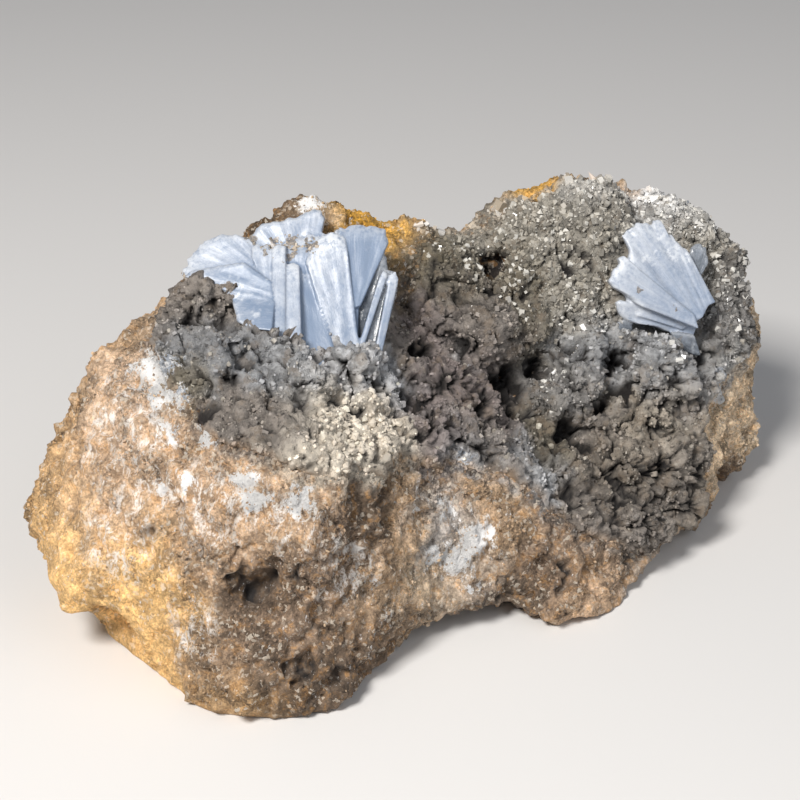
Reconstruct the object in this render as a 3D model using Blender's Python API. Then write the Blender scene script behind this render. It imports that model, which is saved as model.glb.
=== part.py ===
"""Blue barite on limonite, a hand-sized mineral specimen.

A block of rusty limonite carries a dark knobbly crust over its upper front slope, and two sprays of
pale blue barite blades grow out of the crust.  Metres, +Z up, and the stone rests on Z = 0.
"""

import math
import random

import bmesh
import bpy
import numpy as np
from mathutils import Matrix, Vector, noise

MM = 0.001
SEED = 41

# Cross sections of the limonite block in millimetres, from the left tip to the right tip:
# (x, [front foot, front belly, front brow, slope, ridge, back shoulder, back belly, back foot] as (y, z))
STONE_SECTIONS = [
    (-68, [(7, 13), (7, 15), (8, 18), (12, 20), (16, 20), (18, 17), (18, 14), (13, 12)]),
    (-66, [(2, 10), (0, 15), (5, 21), (11, 24), (17, 23), (22, 19), (23, 13), (13, 7)]),
    (-62, [(-10, 3), (-12, 16), (-5, 28), (5, 33), (14, 32), (24, 26), (28, 14), (16, 2)]),
    (-54, [(-24, -2), (-24, 17), (-14, 38), (0, 44), (13, 45), (25, 36), (32, 17), (19, -2)]),
    (-42, [(-30, -2), (-31, 18), (-26, 38), (-10, 44), (12, 49), (26, 44), (33, 20), (20, -2)]),
    (-28, [(-26, -1), (-29, 17), (-25, 34), (-9, 42), (15, 56), (27, 50), (34, 22), (20, -1)]),
    (-14, [(-22, 3), (-25, 14), (-22, 28), (-8, 37), (18, 60), (29, 53), (35, 22), (19, 1)]),
    (1, [(-30, 1), (-30, 9), (-25, 21), (-8, 31), (13, 55), (25, 49), (34, 21), (19, 0)]),
    (14, [(-31, -2), (-30, 7), (-25, 14), (-8, 28), (11, 50.5), (22, 47), (32, 20), (17, -2)]),
    (30, [(-23, 0), (-26, 7), (-21, 15), (-6, 31), (11, 56.5), (22, 49), (30, 20), (17, -2)]),
    (44, [(-17.5, 0), (-20.5, 7), (-17, 19), (-5, 36), (9, 54), (20, 47), (27, 19), (13, -1)]),
    (57, [(-8, 3), (-13, 11), (-12, 23), (-5, 35), (6, 48.5), (14, 43), (22, 20), (10, 3)]),
    (65, [(-6, 10), (-8, 16), (-8, 25), (-5, 31), (0, 36), (6, 33), (9, 22), (2, 12)]),
    (68, [(-1, 18), (-3, 20), (-3, 24), (-2, 27), (0, 29), (2, 27), (3, 23), (1, 19)]),
]
STONE_ROWS = 112
STONE_AROUND = 96
STONE_TRIANGLES = 3600
# The broken surface: wide swells, and chipped faces between ridges, as their spacing and height.
SWELL_SPACING = 17
SWELL_HEIGHT = 1.3
CHIP_SPACING = 9
CHIP_HEIGHT = 1.6
CHIP_DEPTH = 1.1


def catmull_rom(before, start, end, after, t):
    """A point between start and end on the smooth curve through all four."""
    return 0.5 * (
        2 * start
        + (end - before) * t
        + (2 * before - 5 * start + 4 * end - after) * t ** 2
        + (3 * start - before - 3 * end + after) * t ** 3
    )


def stone_point(along, around):
    """A point of the smooth block, in millimetres; along runs 0 to 1 left to right, around once round."""
    last = len(STONE_SECTIONS) - 1
    place = min(max(along * last, 0), last - 1e-6)
    row = int(place)
    ring = []
    for k in range(row - 1, row + 3):
        x, points = STONE_SECTIONS[min(max(k, 0), last)]
        count = len(points)
        turn = around % 1 * count
        corner = int(turn)
        four = [np.array(points[(corner + j) % count], float) for j in (-1, 0, 1, 2)]
        y, z = catmull_rom(*four, turn - corner)
        ring.append(np.array((x, y, z)))
    return catmull_rom(*ring, place - row)


def along_at(x):
    """How far along the block a place x millimetres from its middle lies, 0 to 1."""
    stations = [section[0] for section in STONE_SECTIONS]
    return float(np.interp(x, stations, np.linspace(0, 1, len(stations))))
# End of the smooth block


# Lumps that stand out of the limonite: (x, y, z, radius, height) in millimetres.
STONE_BULGES = [
    (-66, 2, 16, 12, 4.0),
    (-67, 2, 10, 8, 2.0),
    (-57, -20, 1, 8, 1.5),
    (-52, -25, 8, 11, 2.5),
    (-38, -30, 28, 12, 1.5),
    (59, -10, 6, 10, 3.0),
    (6, -31, 4, 10, 2.0),
    (-12, 20, 60, 9, 2.0),
    (-30, 33, 30, 14, 3.0),
    (20, 32, 28, 15, 3.5),
    (50, 22, 34, 12, 2.5),
    (-50, 30, 16, 10, 2.5),
]
# Hollows broken out of the limonite: (x, y, z, radius, depth) in millimetres.
STONE_PITS = [
    (-50, -27, 22, 7, 4.5),
    (-46, -31, 11, 5, 2.0),
    (-4, -31, 5, 6, 4.0),
    (-58, -13, 30, 3, 1.5),
    (-26, -27, 29, 5, 1.5),
    (-24, -25, 6, 7, 3.0),
    (-28, -30, 3, 8, 1.5),
    (22, -31, 0, 8, 3.0),
    (1, -30, 10, 3, 1.5),
    (-59, 10, 3, 6, 3.0),
    (49, -14, 5, 6, 3.0),
    (15, 8, 46, 4, 3.5),
    (45, 5, 50, 5, 3.5),
    (0, 30, 36, 11, 4.0),
    (-45, 29, 34, 10, 3.0),
    (38, 27, 30, 9, 3.0),
    (-10, 34, 14, 8, 3.5),
]


def fade(distance, radius):
    """1 at the middle, falling smoothly to 0 at the radius."""
    share = max(0.0, 1 - (distance / radius) ** 2)
    return share * share


def stone_relief(p):
    """How far broken limonite stands out of the smooth block at p, in millimetres."""
    place = Vector(p)
    swells = noise.fractal(place / SWELL_SPACING, 1.0, 2.1, 3) * SWELL_HEIGHT
    nearest, second = noise.voronoi(place / CHIP_SPACING)[0][:2]
    chips = (second - nearest) * CHIP_HEIGHT - CHIP_DEPTH
    lumps = sum(h * fade((place - Vector((x, y, z))).length, r) for x, y, z, r, h in STONE_BULGES)
    hollows = sum(d * fade((place - Vector((x, y, z))).length, r) for x, y, z, r, d in STONE_PITS)
    return swells + chips + lumps - hollows


def outward(along, around):
    """The unit normal of the smooth block."""
    step = 0.004
    lengthwise = stone_point(min(along + step, 1), around) - stone_point(max(along - step, 0), around)
    sideways = stone_point(along, around + step) - stone_point(along, around - step)
    normal = np.cross(lengthwise, sideways)
    return normal / max(np.linalg.norm(normal), 1e-9)


def stone_surface(along, around):
    """A point of the broken limonite and the normal of the smooth block there."""
    smooth = stone_point(along, around)
    normal = outward(along, around)
    return smooth + normal * stone_relief(smooth), normal


def new_object(name, points, faces, collection):
    """A mesh object from points in millimetres."""
    mesh = bpy.data.meshes.new(name)
    mesh.from_pydata([tuple(np.asarray(p) * MM) for p in points], [], faces)
    mesh.update()
    made = bpy.data.objects.new(name, mesh)
    collection.objects.link(made)
    return made


def face_outwards(made):
    """Turns every face of a closed mesh to point out."""
    bm = bmesh.new()
    bm.from_mesh(made.data)
    bmesh.ops.recalc_face_normals(bm, faces=bm.faces)
    bm.to_mesh(made.data)
    bm.free()


def loft_stone(collection):
    """The limonite block as rings of points from tip to tip, closed at both tips by a fan."""
    points = []
    for row in range(STONE_ROWS + 1):
        for turn in range(STONE_AROUND):
            points.append(stone_surface(row / STONE_ROWS, turn / STONE_AROUND)[0])
    faces = []
    for row in range(STONE_ROWS):
        for turn in range(STONE_AROUND):
            here = row * STONE_AROUND + turn
            there = row * STONE_AROUND + (turn + 1) % STONE_AROUND
            faces.append((here, there, there + STONE_AROUND, here + STONE_AROUND))
    for first in (0, STONE_ROWS * STONE_AROUND):
        ring = range(first, first + STONE_AROUND)
        points.append(np.mean([points[k] for k in ring], axis=0))
        tip = len(points) - 1
        faces += [(tip, k, first + (k - first + 1) % STONE_AROUND) for k in ring]
    made = new_object("limonite_block", points, faces, collection)
    face_outwards(made)
    return made


# The crust's edges on the block: (x in millimetres, how far round its lower edge, its upper edge).
CRUST_EDGES = [
    (-52, 0.32, 0.38),
    (-50, 0.29, 0.44),
    (-48, 0.27, 0.50),
    (-45, 0.25, 0.53),
    (-37, 0.23, 0.53),
    (-28, 0.24, 0.53),
    (-20, 0.25, 0.50),
    (-12, 0.25, 0.45),
    (-3, 0.26, 0.45),
    (3, 0.24, 0.50),
    (9, 0.19, 0.53),
    (16, 0.12, 0.54),
    (24, 0.075, 0.54),
    (33, 0.05, 0.54),
    (38, 0.06, 0.54),
    (41, 0.14, 0.54),
    (44, 0.25, 0.54),
    (52, 0.25, 0.54),
    (59, 0.24, 0.54),
    (64, 0.30, 0.48),
]
CRUST_COLUMNS = 132
CRUST_ROWS = 64
CRUST_TRIANGLES = 3600
# In millimetres: the crust between its knobs, the width over which it thins out towards its edge, how far
# its edge and its inner side reach into the limonite, and the raggedness of its edge as a share of the way
# round the block for each wavelength.
CRUST_THICK = 2.2
CRUST_THICK_CHANGE = 0.9
CRUST_THICK_SPACING = 5
CRUST_EDGE_WIDTH = 6.0
CRUST_EDGE_SINK = 0.9
CRUST_ROOT = 3.0
RAGGED_EDGE = ((6, 0.022), (2.2, 0.012))
# Knobs of the crust: (x, y, z, radius, height above the block) in millimetres.
CRUST_KNOBS = [
    (-41, -3, 46, 5.5, 6.0),
    (-33, -1, 47, 4.5, 4.5),
    (-41, 12, 49, 5.0, 4.0),
    (-31, -8, 43, 6.0, 5.5),
    (-22, -6, 42, 6.5, 5.5),
    (-1, 2, 42, 5.5, 5.0),
    (7, 0, 38, 7.5, 7.5),
    (-4, -6, 35, 6.0, 5.5),
    (0, -9, 30, 5.5, 5.5),
    (16, 0, 37, 5.0, 5.0),
    (19, -8, 28, 6.5, 6.5),
    (27, -5, 32, 5.0, 4.5),
    (37, -9, 29, 7.0, 7.5),
    (39, -12, 25, 4.5, 7.0),
    (32, -14, 22, 6.0, 5.0),
    (22, -14, 22, 5.0, 4.5),
    (49, -8, 32, 5.0, 4.5),
    (55, -9, 30, 4.5, 4.0),
    (59, -5, 35, 4.5, 3.5),
    (24, -19, 17, 6.0, 5.0),
    (32, -20, 15, 6.5, 5.0),
    (22, -26, 11, 5.5, 4.0),
    (34, -24, 8, 5.5, 4.0),
    (38, -23, 5, 5.0, 3.5),
    (27, -25, 4, 4.5, 3.0),
    (12, -19, 20, 5.5, 4.5),
    (-4, -15, 28, 6.0, 4.5),
    (-11, -14, 32, 5.5, 4.0),
    (26, 9, 50, 8.0, 4.5),
    (35, 7, 51, 8.0, 5.0),
    (7, 11, 50, 7.0, 3.5),
    (18, 5, 44, 5.5, 4.5),
    (27, 2, 41, 6.0, 5.0),
    (53, 2, 46, 5.5, 3.5),
    (-38, -20, 41, 5.5, 2.5),
    (-29, -19, 38, 6.0, 3.0),
    (-17, -8, 38, 5.0, 4.5),
]
# Holes between the knobs: (x, y, z, radius) in millimetres.
CRUST_HOLES = [
    (-5, -2, 39, 3.2),
    (9, -6, 31, 4.5),
    (16, -14, 23, 3.5),
    (31, -7, 30, 3.0),
    (15, 8, 46, 3.2),
    (-48, -9, 43, 3.0),
    (-39, -5, 46, 2.2),
    (-29, -6, 44, 2.8),
    (18, -16, 21, 2.8),
    (-14, -9, 36, 2.8),
    (16, -5, 32, 3.2),
    (45, 5, 50, 3.5),
    (24, -12, 25, 2.6),
]
# Small knobs strewn over the rest, in millimetres.
SMALL_KNOBS = 150
SMALL_KNOB_SPACING = 3.4
SMALL_KNOB_RADIUS = (1.9, 3.6)
SMALL_KNOB_HEIGHT = (1.6, 3.6)
SMALL_KNOB_FROM_EDGE = 3.0
# The ground on which the blades stand, where the crust is thin: (x, y, z, radius) in millimetres.
BLADE_BEDS = [
    (-15, 11, 55, 5.5),
    (-17, 4, 49, 5.5),
    (-18, 1, 46, 3.5),
    (-25, 8, 53, 5.5),
    (-30, 13, 55, 5.5),
    (-32, 18, 54, 5.0),
    (-30, 6, 51, 4.5),
    (-6, 10, 52, 5.0),
    (-10, 4, 47, 4.5),
    (-19, 16, 59, 4.5),
    (-25, 1, 48, 3.5),
    (-7, 6, 48, 4.0),
    (-8, 2, 45, 4.0),
    (44, 1, 45, 5.0),
    (48, -4, 38, 5.5),
    (40, -3, 38, 5.0),
    (47, -7, 33, 4.0),
    (48, -1, 42, 5.0),
    (38, 0, 42, 4.5),
    (40, -5, 35, 3.5),
]
# How thick the crust is under the blades and in the holes, and how far past its radius each one fades out.
BED_THICK = 1.0
HOLE_THICK = 0.9
FADE_REACH = 1.5


def crust_columns():
    """The crust's ground, column by column from its lower to its upper edge, with the block's normals."""
    xs, low, high = zip(*CRUST_EDGES)
    columns = []
    for i in range(CRUST_COLUMNS + 1):
        x = xs[0] + (xs[-1] - xs[0]) * i / CRUST_COLUMNS
        ragged = sum(size * noise.noise(Vector((x / wave, wave, 0))) for wave, size in RAGGED_EDGE)
        start = np.interp(x, xs, low) + ragged
        end = np.interp(x, xs, high) + ragged
        along = along_at(x)
        columns.append([stone_surface(along, start + (end - start) * j / CRUST_ROWS) for j in range(CRUST_ROWS + 1)])
    return columns


def edge_distances(ground):
    """How far each point of the crust's ground lies from the crust's edge, in millimetres."""
    up = np.linalg.norm(np.diff(ground, axis=1), axis=2)
    across = np.linalg.norm(np.diff(ground, axis=0), axis=2)
    from_low = np.pad(np.cumsum(up, axis=1), ((0, 0), (1, 0)))
    from_left = np.pad(np.cumsum(across, axis=0), ((1, 0), (0, 0)))
    from_high = from_low[:, -1:] - from_low
    from_right = from_left[-1:, :] - from_left
    return np.minimum(np.minimum(from_low, from_high), np.minimum(from_left, from_right))


def small_knobs(ground, normals, inside):
    """Small knobs scattered over the crust: centres and radii."""
    pick = random.Random(SEED)
    found = []
    for _ in range(SMALL_KNOBS * 30):
        if len(found) == SMALL_KNOBS:
            break
        i = pick.randrange(ground.shape[0])
        j = pick.randrange(ground.shape[1])
        radius = pick.uniform(*SMALL_KNOB_RADIUS)
        height = pick.uniform(*SMALL_KNOB_HEIGHT)
        place = ground[i, j]
        if inside[i, j] < SMALL_KNOB_FROM_EDGE:
            continue
        if any(np.linalg.norm(place - other[0]) < SMALL_KNOB_SPACING for other in found):
            continue
        found.append((place, place + normals[i, j] * (height - radius), radius))
    return [(centre, radius) for _, centre, radius in found]


def knob_reach(point, normal, centre, radius):
    """How far from the point, along the normal, a ball's outer side lies, or None beside the ball."""
    off = centre - point
    ahead = float(off @ normal)
    aside = float(off @ off) - ahead * ahead
    if aside >= radius * radius:
        return None
    return ahead + math.sqrt(radius * radius - aside)


def crust_thickness(point, normal, edge, knobs):
    """How far the crust stands out of the limonite at a point of its ground."""
    thick = CRUST_THICK + CRUST_THICK_CHANGE * noise.fractal(Vector(point) / CRUST_THICK_SPACING, 1.0, 2.0, 2)
    for centre, radius in knobs:
        reach = knob_reach(point, normal, centre, radius)
        if reach is not None:
            thick = max(thick, reach)
    for x, y, z, radius in CRUST_HOLES:
        near = fade(np.linalg.norm(point - (x, y, z)), radius * FADE_REACH)
        thick += (HOLE_THICK - thick) * min(1.0, near * 2)
    for x, y, z, radius in BLADE_BEDS:
        near = fade(np.linalg.norm(point - (x, y, z)), radius * FADE_REACH)
        thick += (min(thick, BED_THICK) - thick) * min(1.0, near * 3)
    share = min(1.0, edge / CRUST_EDGE_WIDTH)
    rise = share * share * (3 - 2 * share)
    return -CRUST_EDGE_SINK + (thick + CRUST_EDGE_SINK) * rise


def loft_crust(collection):
    """The whole crust as a closed shell: a knobbly outer sheet and an inner one sunk in the limonite."""
    columns = crust_columns()
    ground = np.array([[place for place, _ in column] for column in columns])
    normals = np.array([[normal for _, normal in column] for column in columns])
    inside = edge_distances(ground)
    knobs = small_knobs(ground, normals, inside)
    for x, y, z, radius, height in CRUST_KNOBS:
        place = np.array((x, y, z), float)
        nearest = np.unravel_index(np.argmin(np.linalg.norm(ground - place, axis=2)), inside.shape)
        knobs.append((place + normals[nearest] * (height - radius), radius))
    outer = []
    inner = []
    for i in range(CRUST_COLUMNS + 1):
        for j in range(CRUST_ROWS + 1):
            thick = crust_thickness(ground[i, j], normals[i, j], inside[i, j], knobs)
            outer.append(ground[i, j] + normals[i, j] * thick)
            inner.append(ground[i, j] - normals[i, j] * CRUST_ROOT)
    below = len(outer)
    width = CRUST_ROWS + 1
    faces = []
    for i in range(CRUST_COLUMNS):
        for j in range(CRUST_ROWS):
            square = [i * width + j, (i + 1) * width + j, (i + 1) * width + j + 1, i * width + j + 1]
            faces.append(square)
            faces.append([below + k for k in reversed(square)])
    rim = [j for j in range(CRUST_ROWS)]
    rim += [i * width + CRUST_ROWS for i in range(CRUST_COLUMNS)]
    rim += [CRUST_COLUMNS * width + j for j in range(CRUST_ROWS, 0, -1)]
    rim += [i * width for i in range(CRUST_COLUMNS, 0, -1)]
    for k, here in enumerate(rim):
        there = rim[(k + 1) % len(rim)]
        faces.append([here, there, below + there, below + here])
    made = new_object("crust_whole", outer + inner, faces, collection)
    face_outwards(made)
    return made


# Both sprays of barite grew towards the same side, turned and lifted by these angles from -Y.
SPRAY_TURN = math.radians(-32)
SPRAY_LIFT = math.radians(28)

# Blades of the sprays: (name, outline as (right, up) in millimetres, (front, tilt right, tilt up), thickness).
# The front is how far the middle of a blade's front face stands before the spray's own middle.
LEFT_MIDDLE = (-26.3, 0.3, 53.3)
LEFT_BLADES = [
    ("long_plate", [(2.5, 10.2), (5.3, 11.3), (6.8, 10.7), (7.9, 6.0), (9.4, -2.8), (9.4, -7.1), (8.2, -8.6),
                    (6.0, -7.6), (4.7, -3.5), (1.9, 1.6), (0.6, 5.0), (1.3, 8.2)], (-1.6, -0.1, -0.2), 3.2),
    ("wedge", [(5.8, 12.1), (13.5, 12.3), (13.7, 9.4), (11.9, 6.0), (9.7, 2.4), (9.0, 0.0), (8.0, 2.5),
               (7.0, 6.6), (6.0, 10.7)], (-1.6, -0.22, -0.25), 3.4),
    ("glassy_blade", [(11.4, 6.0), (13.7, 8.3), (13.8, 3.9), (12.6, 0.0), (11.0, -3.9), (9.1, -8.0),
                      (8.8, -1.6), (10.0, 2.4)], (-2.8, -0.25, -0.1), 2.4),
    ("right_blade", [(13.4, 5.6), (15.4, 3.9), (14.8, -1.6), (13.7, -5.5), (12.8, -8.6), (10.4, -8.6),
                     (9.4, -6.5), (11.4, -3.1), (12.6, 0.8)], (0.6, -0.3, -0.15), 2.6),
    ("prism", [(-4.5, 9.0), (-2.4, 9.0), (-2.1, -6.0), (-4.2, -6.6)], (0.4, 0.0, -0.42), 3.4),
    ("second_prism", [(-2.2, 6.0), (-0.2, 5.7), (0.5, -6.8), (-2.0, -6.8)], (0.0, 0.05, -0.42), 3.4),
    ("inner_plate", [(-0.5, 6.0), (0.9, 5.0), (2.2, 1.3), (5.0, -3.9), (6.3, -8.3), (0.2, -8.0),
                     (-0.5, -4.7)], (-2.0, -0.1, -0.32), 3.0),
    ("upper_fan", [(-17.0, 9.0), (-14.2, 10.8), (-11.0, 11.2), (-8.4, 10.2), (-6.0, 7.5), (-4.0, 4.7),
                   (-4.0, 1.5), (-9.4, 4.5), (-13.4, 4.2), (-16.8, 3.2), (-19.4, 4.2), (-19.0, 6.2)],
     (-1.2, 0.1, -0.38), 3.4),
    ("lower_fan", [(-18.9, 3.9), (-16.8, 5.0), (-13.4, 5.5), (-9.0, 6.1), (-4.2, 3.1), (-4.0, -5.6),
                   (-6.0, -5.0), (-8.5, -4.2), (-9.9, -2.0), (-10.9, 0.0), (-11.5, 1.4), (-13.7, 1.8),
                   (-15.3, 3.0)], (1.2, 0.12, -0.38), 3.6),
    ("low_blade", [(-10.5, 0.3), (-6.3, 0.6), (-4.0, -0.3), (-4.3, -5.0), (-7.5, -4.6), (-9.9, -3.6)],
     (2.2, 0.1, -0.4), 3.0),
    ("middle_blade", [(-8.3, 9.0), (-6.0, 9.4), (-4.2, 7.9), (-4.0, -0.5), (-6.2, 2.0), (-7.3, 6.0)],
     (-0.3, 0.0, -0.38), 3.6),
    ("back_lobe", [(-8.5, 10.7), (-7.1, 12.6), (-3.6, 13.5), (0.0, 14.3), (1.3, 15.4), (2.8, 15.3),
                   (3.6, 13.7), (1.5, 9.4), (-3.6, 8.6), (-6.9, 8.0)], (-4.5, 0.0, -0.3), 4.2),
    ("upper_blade", [(-3.1, 9.4), (-0.6, 10.9), (1.9, 10.9), (6.5, 12.2), (6.2, 8.0), (1.5, 4.5), (-1.6, 5.0),
                     (-2.6, 7.9)], (-3.2, -0.12, -0.3), 5.0),
]
RIGHT_MIDDLE = (40.1, -8.5, 43.0)
RIGHT_BLADES = [
    ("broad_fan", [(-7.3, 9.2), (-6.0, 10.6), (-4.3, 11.1), (-2.5, 11.3), (-1.5, 10.7), (-1.3, 11.7), (0.0, 11.9),
                   (0.9, 9.8), (1.8, 9.6), (2.4, 8.3), (3.5, 7.4), (4.7, 6.4), (5.8, 4.2), (7.3, 1.2),
                   (9.3, -2.7), (8.0, -3.3), (6.9, -5.4), (5.0, -6.4), (2.4, -3.1), (-1.0, -0.7),
                   (-2.8, 0.8), (-5.1, 2.7), (-6.0, 4.2), (-6.0, 6.8)], (-2.2, -0.22, -0.2), 3.0),
    ("middle_fan", [(-8.3, 4.9), (-7.1, 5.3), (-5.8, 3.8), (-2.5, 0.8), (2.8, -3.6), (5.6, -5.2), (6.0, -7.4),
                    (-4.7, -3.3), (-7.3, -1.2), (-9.4, -0.1), (-10.0, 1.0), (-9.2, 2.3), (-8.3, 3.3)],
     (-1.2, -0.2, -0.12), 3.0),
    ("low_fan", [(-8.5, -2.9), (-7.5, -2.4), (-4.5, -3.1), (3.0, -5.2), (6.2, -6.9), (5.4, -8.9),
                 (3.2, -8.0), (0.5, -7.3), (-2.5, -6.1), (-4.7, -6.5), (-6.8, -5.7), (-8.1, -4.4)],
     (-1.9, -0.2, 0.2), 3.0),
    ("root_blade", [(1.3, -7.6), (5.4, -8.2), (6.6, -11.9), (5.8, -11.7), (3.9, -11.2), (1.7, -9.3)],
     (-2.0, -0.1, 0.1), 3.0),
    ("glassy_blades", [(5.4, 6.3), (7.3, 6.5), (7.9, 4.6), (7.0, 1.4), (5.4, 3.6)], (-4.6, -0.2, -0.1), 2.6),
    ("round_blade", [(-7.9, -6.3), (-5.3, -6.1), (-5.3, -7.4), (-7.1, -8.6), (-8.0, -7.7)],
     (-2.4, -0.1, 0.2), 2.4),
]
BLADE_BEVEL = 0.45
# The gap between touching pieces, and edges shorter than which a cut leaves nothing worth keeping.
CLEARANCE = 0.3
SHORTEST_EDGE = 0.01
FLOOR_CUTTER_SIZE = (0.3, 0.3, 0.04)


def cut_blade(name, outline, front, thickness, middle, collection):
    """One flat crystal with bevelled edges: an outline extruded, leaned and set before its spray's middle."""
    curve = bpy.data.curves.new(name, "CURVE")
    curve.dimensions = "2D"
    curve.fill_mode = "BOTH"
    curve.extrude = thickness / 2 * MM
    spline = curve.splines.new("POLY")
    spline.points.add(len(outline) - 1)
    for point, (right, up) in zip(spline.points, outline):
        point.co = (right * MM, up * MM, 0, 1)
    spline.use_cyclic_u = True
    flat = bpy.data.objects.new(name + "_outline", curve)
    collection.objects.link(flat)
    made = as_mesh(flat, name, collection)
    bm = bmesh.new()
    bm.from_mesh(made.data)
    bmesh.ops.remove_doubles(bm, verts=bm.verts, dist=SHORTEST_EDGE * MM)
    bmesh.ops.dissolve_limit(bm, angle_limit=math.radians(1), verts=bm.verts, edges=bm.edges)
    bmesh.ops.bevel(bm, geom=bm.edges[:], offset=BLADE_BEVEL * MM, segments=1, affect="EDGES", clamp_overlap=True)
    bmesh.ops.recalc_face_normals(bm, faces=bm.faces)
    bm.to_mesh(made.data)
    bm.free()
    ahead, lean_right, lean_up = front
    aside = Vector((math.cos(SPRAY_TURN), math.sin(SPRAY_TURN), 0))
    outwards = Vector((math.sin(SPRAY_TURN) * math.cos(SPRAY_LIFT), -math.cos(SPRAY_TURN) * math.cos(SPRAY_LIFT),
                       math.sin(SPRAY_LIFT)))
    upwards = outwards.cross(aside)
    axes = Matrix((aside + outwards * lean_right, upwards + outwards * lean_up, outwards)).transposed()
    place = Vector(middle) * MM + outwards * (ahead - thickness / 2) * MM
    made.data.transform(Matrix.Translation(place) @ axes.to_4x4())
    return made


def as_mesh(source, name, collection):
    """A new mesh object from what an object's modifiers make; the first object is removed."""
    bpy.context.view_layer.update()
    seen = source.evaluated_get(bpy.context.evaluated_depsgraph_get())
    mesh = bpy.data.meshes.new_from_object(seen)
    place = source.matrix_world.copy()
    bpy.data.objects.remove(source)
    mesh.name = name
    made = bpy.data.objects.new(name, mesh)
    made.matrix_world = place
    collection.objects.link(made)
    return made


def simplify(source, triangles, name, collection):
    """The object's shape with about this many triangles."""
    source.data.calc_loop_triangles()
    fewer = source.modifiers.new("simpler", "DECIMATE")
    fewer.ratio = triangles / len(source.data.loop_triangles)
    fewer.use_collapse_triangulate = True
    return as_mesh(source, name, collection)


def boolean(target, operation, other):
    """Joins or cuts the target by another object or a collection of them."""
    step = target.modifiers.new(operation.lower(), "BOOLEAN")
    step.operation = operation
    step.solver = "EXACT"
    if isinstance(other, bpy.types.Collection):
        step.operand_type = "COLLECTION"
        step.collection = other
    else:
        step.object = other
    return step


def swollen(source, name, collection):
    """A copy of a piece grown by the clearance, to cut its neighbours with."""
    grown = bpy.data.objects.new(name, source.data.copy())
    collection.objects.link(grown)
    swell = grown.modifiers.new("clearance", "DISPLACE")
    swell.strength = CLEARANCE * MM
    swell.mid_level = 0
    hide_cutter(grown)
    return grown


def hide_cutter(cutter):
    """Marks a cutter, which is no part of the specimen."""
    cutter.hide_render = True
    cutter.display_type = "WIRE"


def keep_largest(made):
    """Leaves the largest connected body of a mesh and drops the crumbs that a cut leaves."""
    bm = bmesh.new()
    bm.from_mesh(made.data)
    bmesh.ops.triangulate(bm, faces=bm.faces)
    bmesh.ops.dissolve_degenerate(bm, dist=SHORTEST_EDGE * MM, edges=bm.edges)
    bm.verts.ensure_lookup_table()
    seen = set()
    bodies = []
    for start in bm.verts:
        if start in seen:
            continue
        body = [start]
        seen.add(start)
        for vert in body:
            for edge in vert.link_edges:
                other = edge.other_vert(vert)
                if other not in seen:
                    seen.add(other)
                    body.append(other)
        bodies.append(body)
    bodies.sort(key=len)
    crumbs = [vert for body in bodies[:-1] for vert in body]
    bmesh.ops.delete(bm, geom=crumbs, context="VERTS")
    bm.to_mesh(made.data)
    bm.free()


def surface_material(name, colour, roughness):
    """A plain surface of one colour."""
    made = bpy.data.materials.new(name)
    made.use_nodes = True
    shader = made.node_tree.nodes["Principled BSDF"]
    shader.inputs["Base Color"].default_value = (*colour, 1)
    shader.inputs["Roughness"].default_value = roughness
    shader.inputs["Metallic"].default_value = 0
    return made


def barite_material():
    """Pale blue, cloudy and half clear."""
    made = surface_material("barite", (0.60, 0.70, 0.82), 0.22)
    shader = made.node_tree.nodes["Principled BSDF"]
    shader.inputs["IOR"].default_value = 1.64
    shader.inputs["Transmission Weight"].default_value = 0.35
    return made


def floor_cutter(collection):
    """The plane on which the specimen was sawn flat to stand, as a block below it."""
    bpy.ops.mesh.primitive_cube_add(size=1)
    cutter = bpy.context.object
    cutter.name = "floor_cutter"
    cutter.data.transform(Matrix.Diagonal((*FLOOR_CUTTER_SIZE, 1)))
    cutter.data.transform(Matrix.Translation((0, 0, -FLOOR_CUTTER_SIZE[2] / 2)))
    for held in list(cutter.users_collection):
        held.objects.unlink(cutter)
    collection.objects.link(cutter)
    hide_cutter(cutter)
    return cutter


def make_matrix(specimen, cutters):
    """The limonite block, flat underneath."""
    block = simplify(loft_stone(specimen), STONE_TRIANGLES, "limonite_block", specimen)
    boolean(block, "DIFFERENCE", floor_cutter(cutters))
    made = as_mesh(block, "matrix", specimen)
    keep_largest(made)
    made.data.materials.clear()
    made.data.materials.append(surface_material("limonite", (0.42, 0.25, 0.11), 0.9))
    return made


def make_crust(grown_matrix, specimen, cutters):
    """The dark crust, and a grown copy of it that cuts the sprays."""
    whole = simplify(loft_crust(specimen), CRUST_TRIANGLES, "crust_whole", specimen)
    grown = swollen(whole, "grown_crust", cutters)
    boolean(whole, "DIFFERENCE", grown_matrix)
    made = as_mesh(whole, "crust", specimen)
    keep_largest(made)
    made.data.materials.clear()
    made.data.materials.append(surface_material("crust", (0.19, 0.16, 0.13), 0.7))
    return made, grown


def make_spray(name, blades, middle, material, neighbours, specimen):
    """One spray: its blades grown together into one crystal group, standing on its neighbours."""
    others = bpy.data.collections.new(name + "_blades")
    bpy.context.scene.collection.children.link(others)
    made = [cut_blade(name + "_" + part, outline, front, thick, middle, others)
            for part, outline, front, thick in blades]
    first = made[0]
    others.objects.unlink(first)
    specimen.objects.link(first)
    boolean(first, "UNION", others)
    for neighbour in neighbours:
        boolean(first, "DIFFERENCE", neighbour)
    spray = as_mesh(first, name, specimen)
    for blade in list(others.objects):
        bpy.data.objects.remove(blade)
    bpy.data.collections.remove(others)
    keep_largest(spray)
    spray.data.shade_flat()
    spray.data.materials.clear()
    spray.data.materials.append(material)
    return spray


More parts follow.
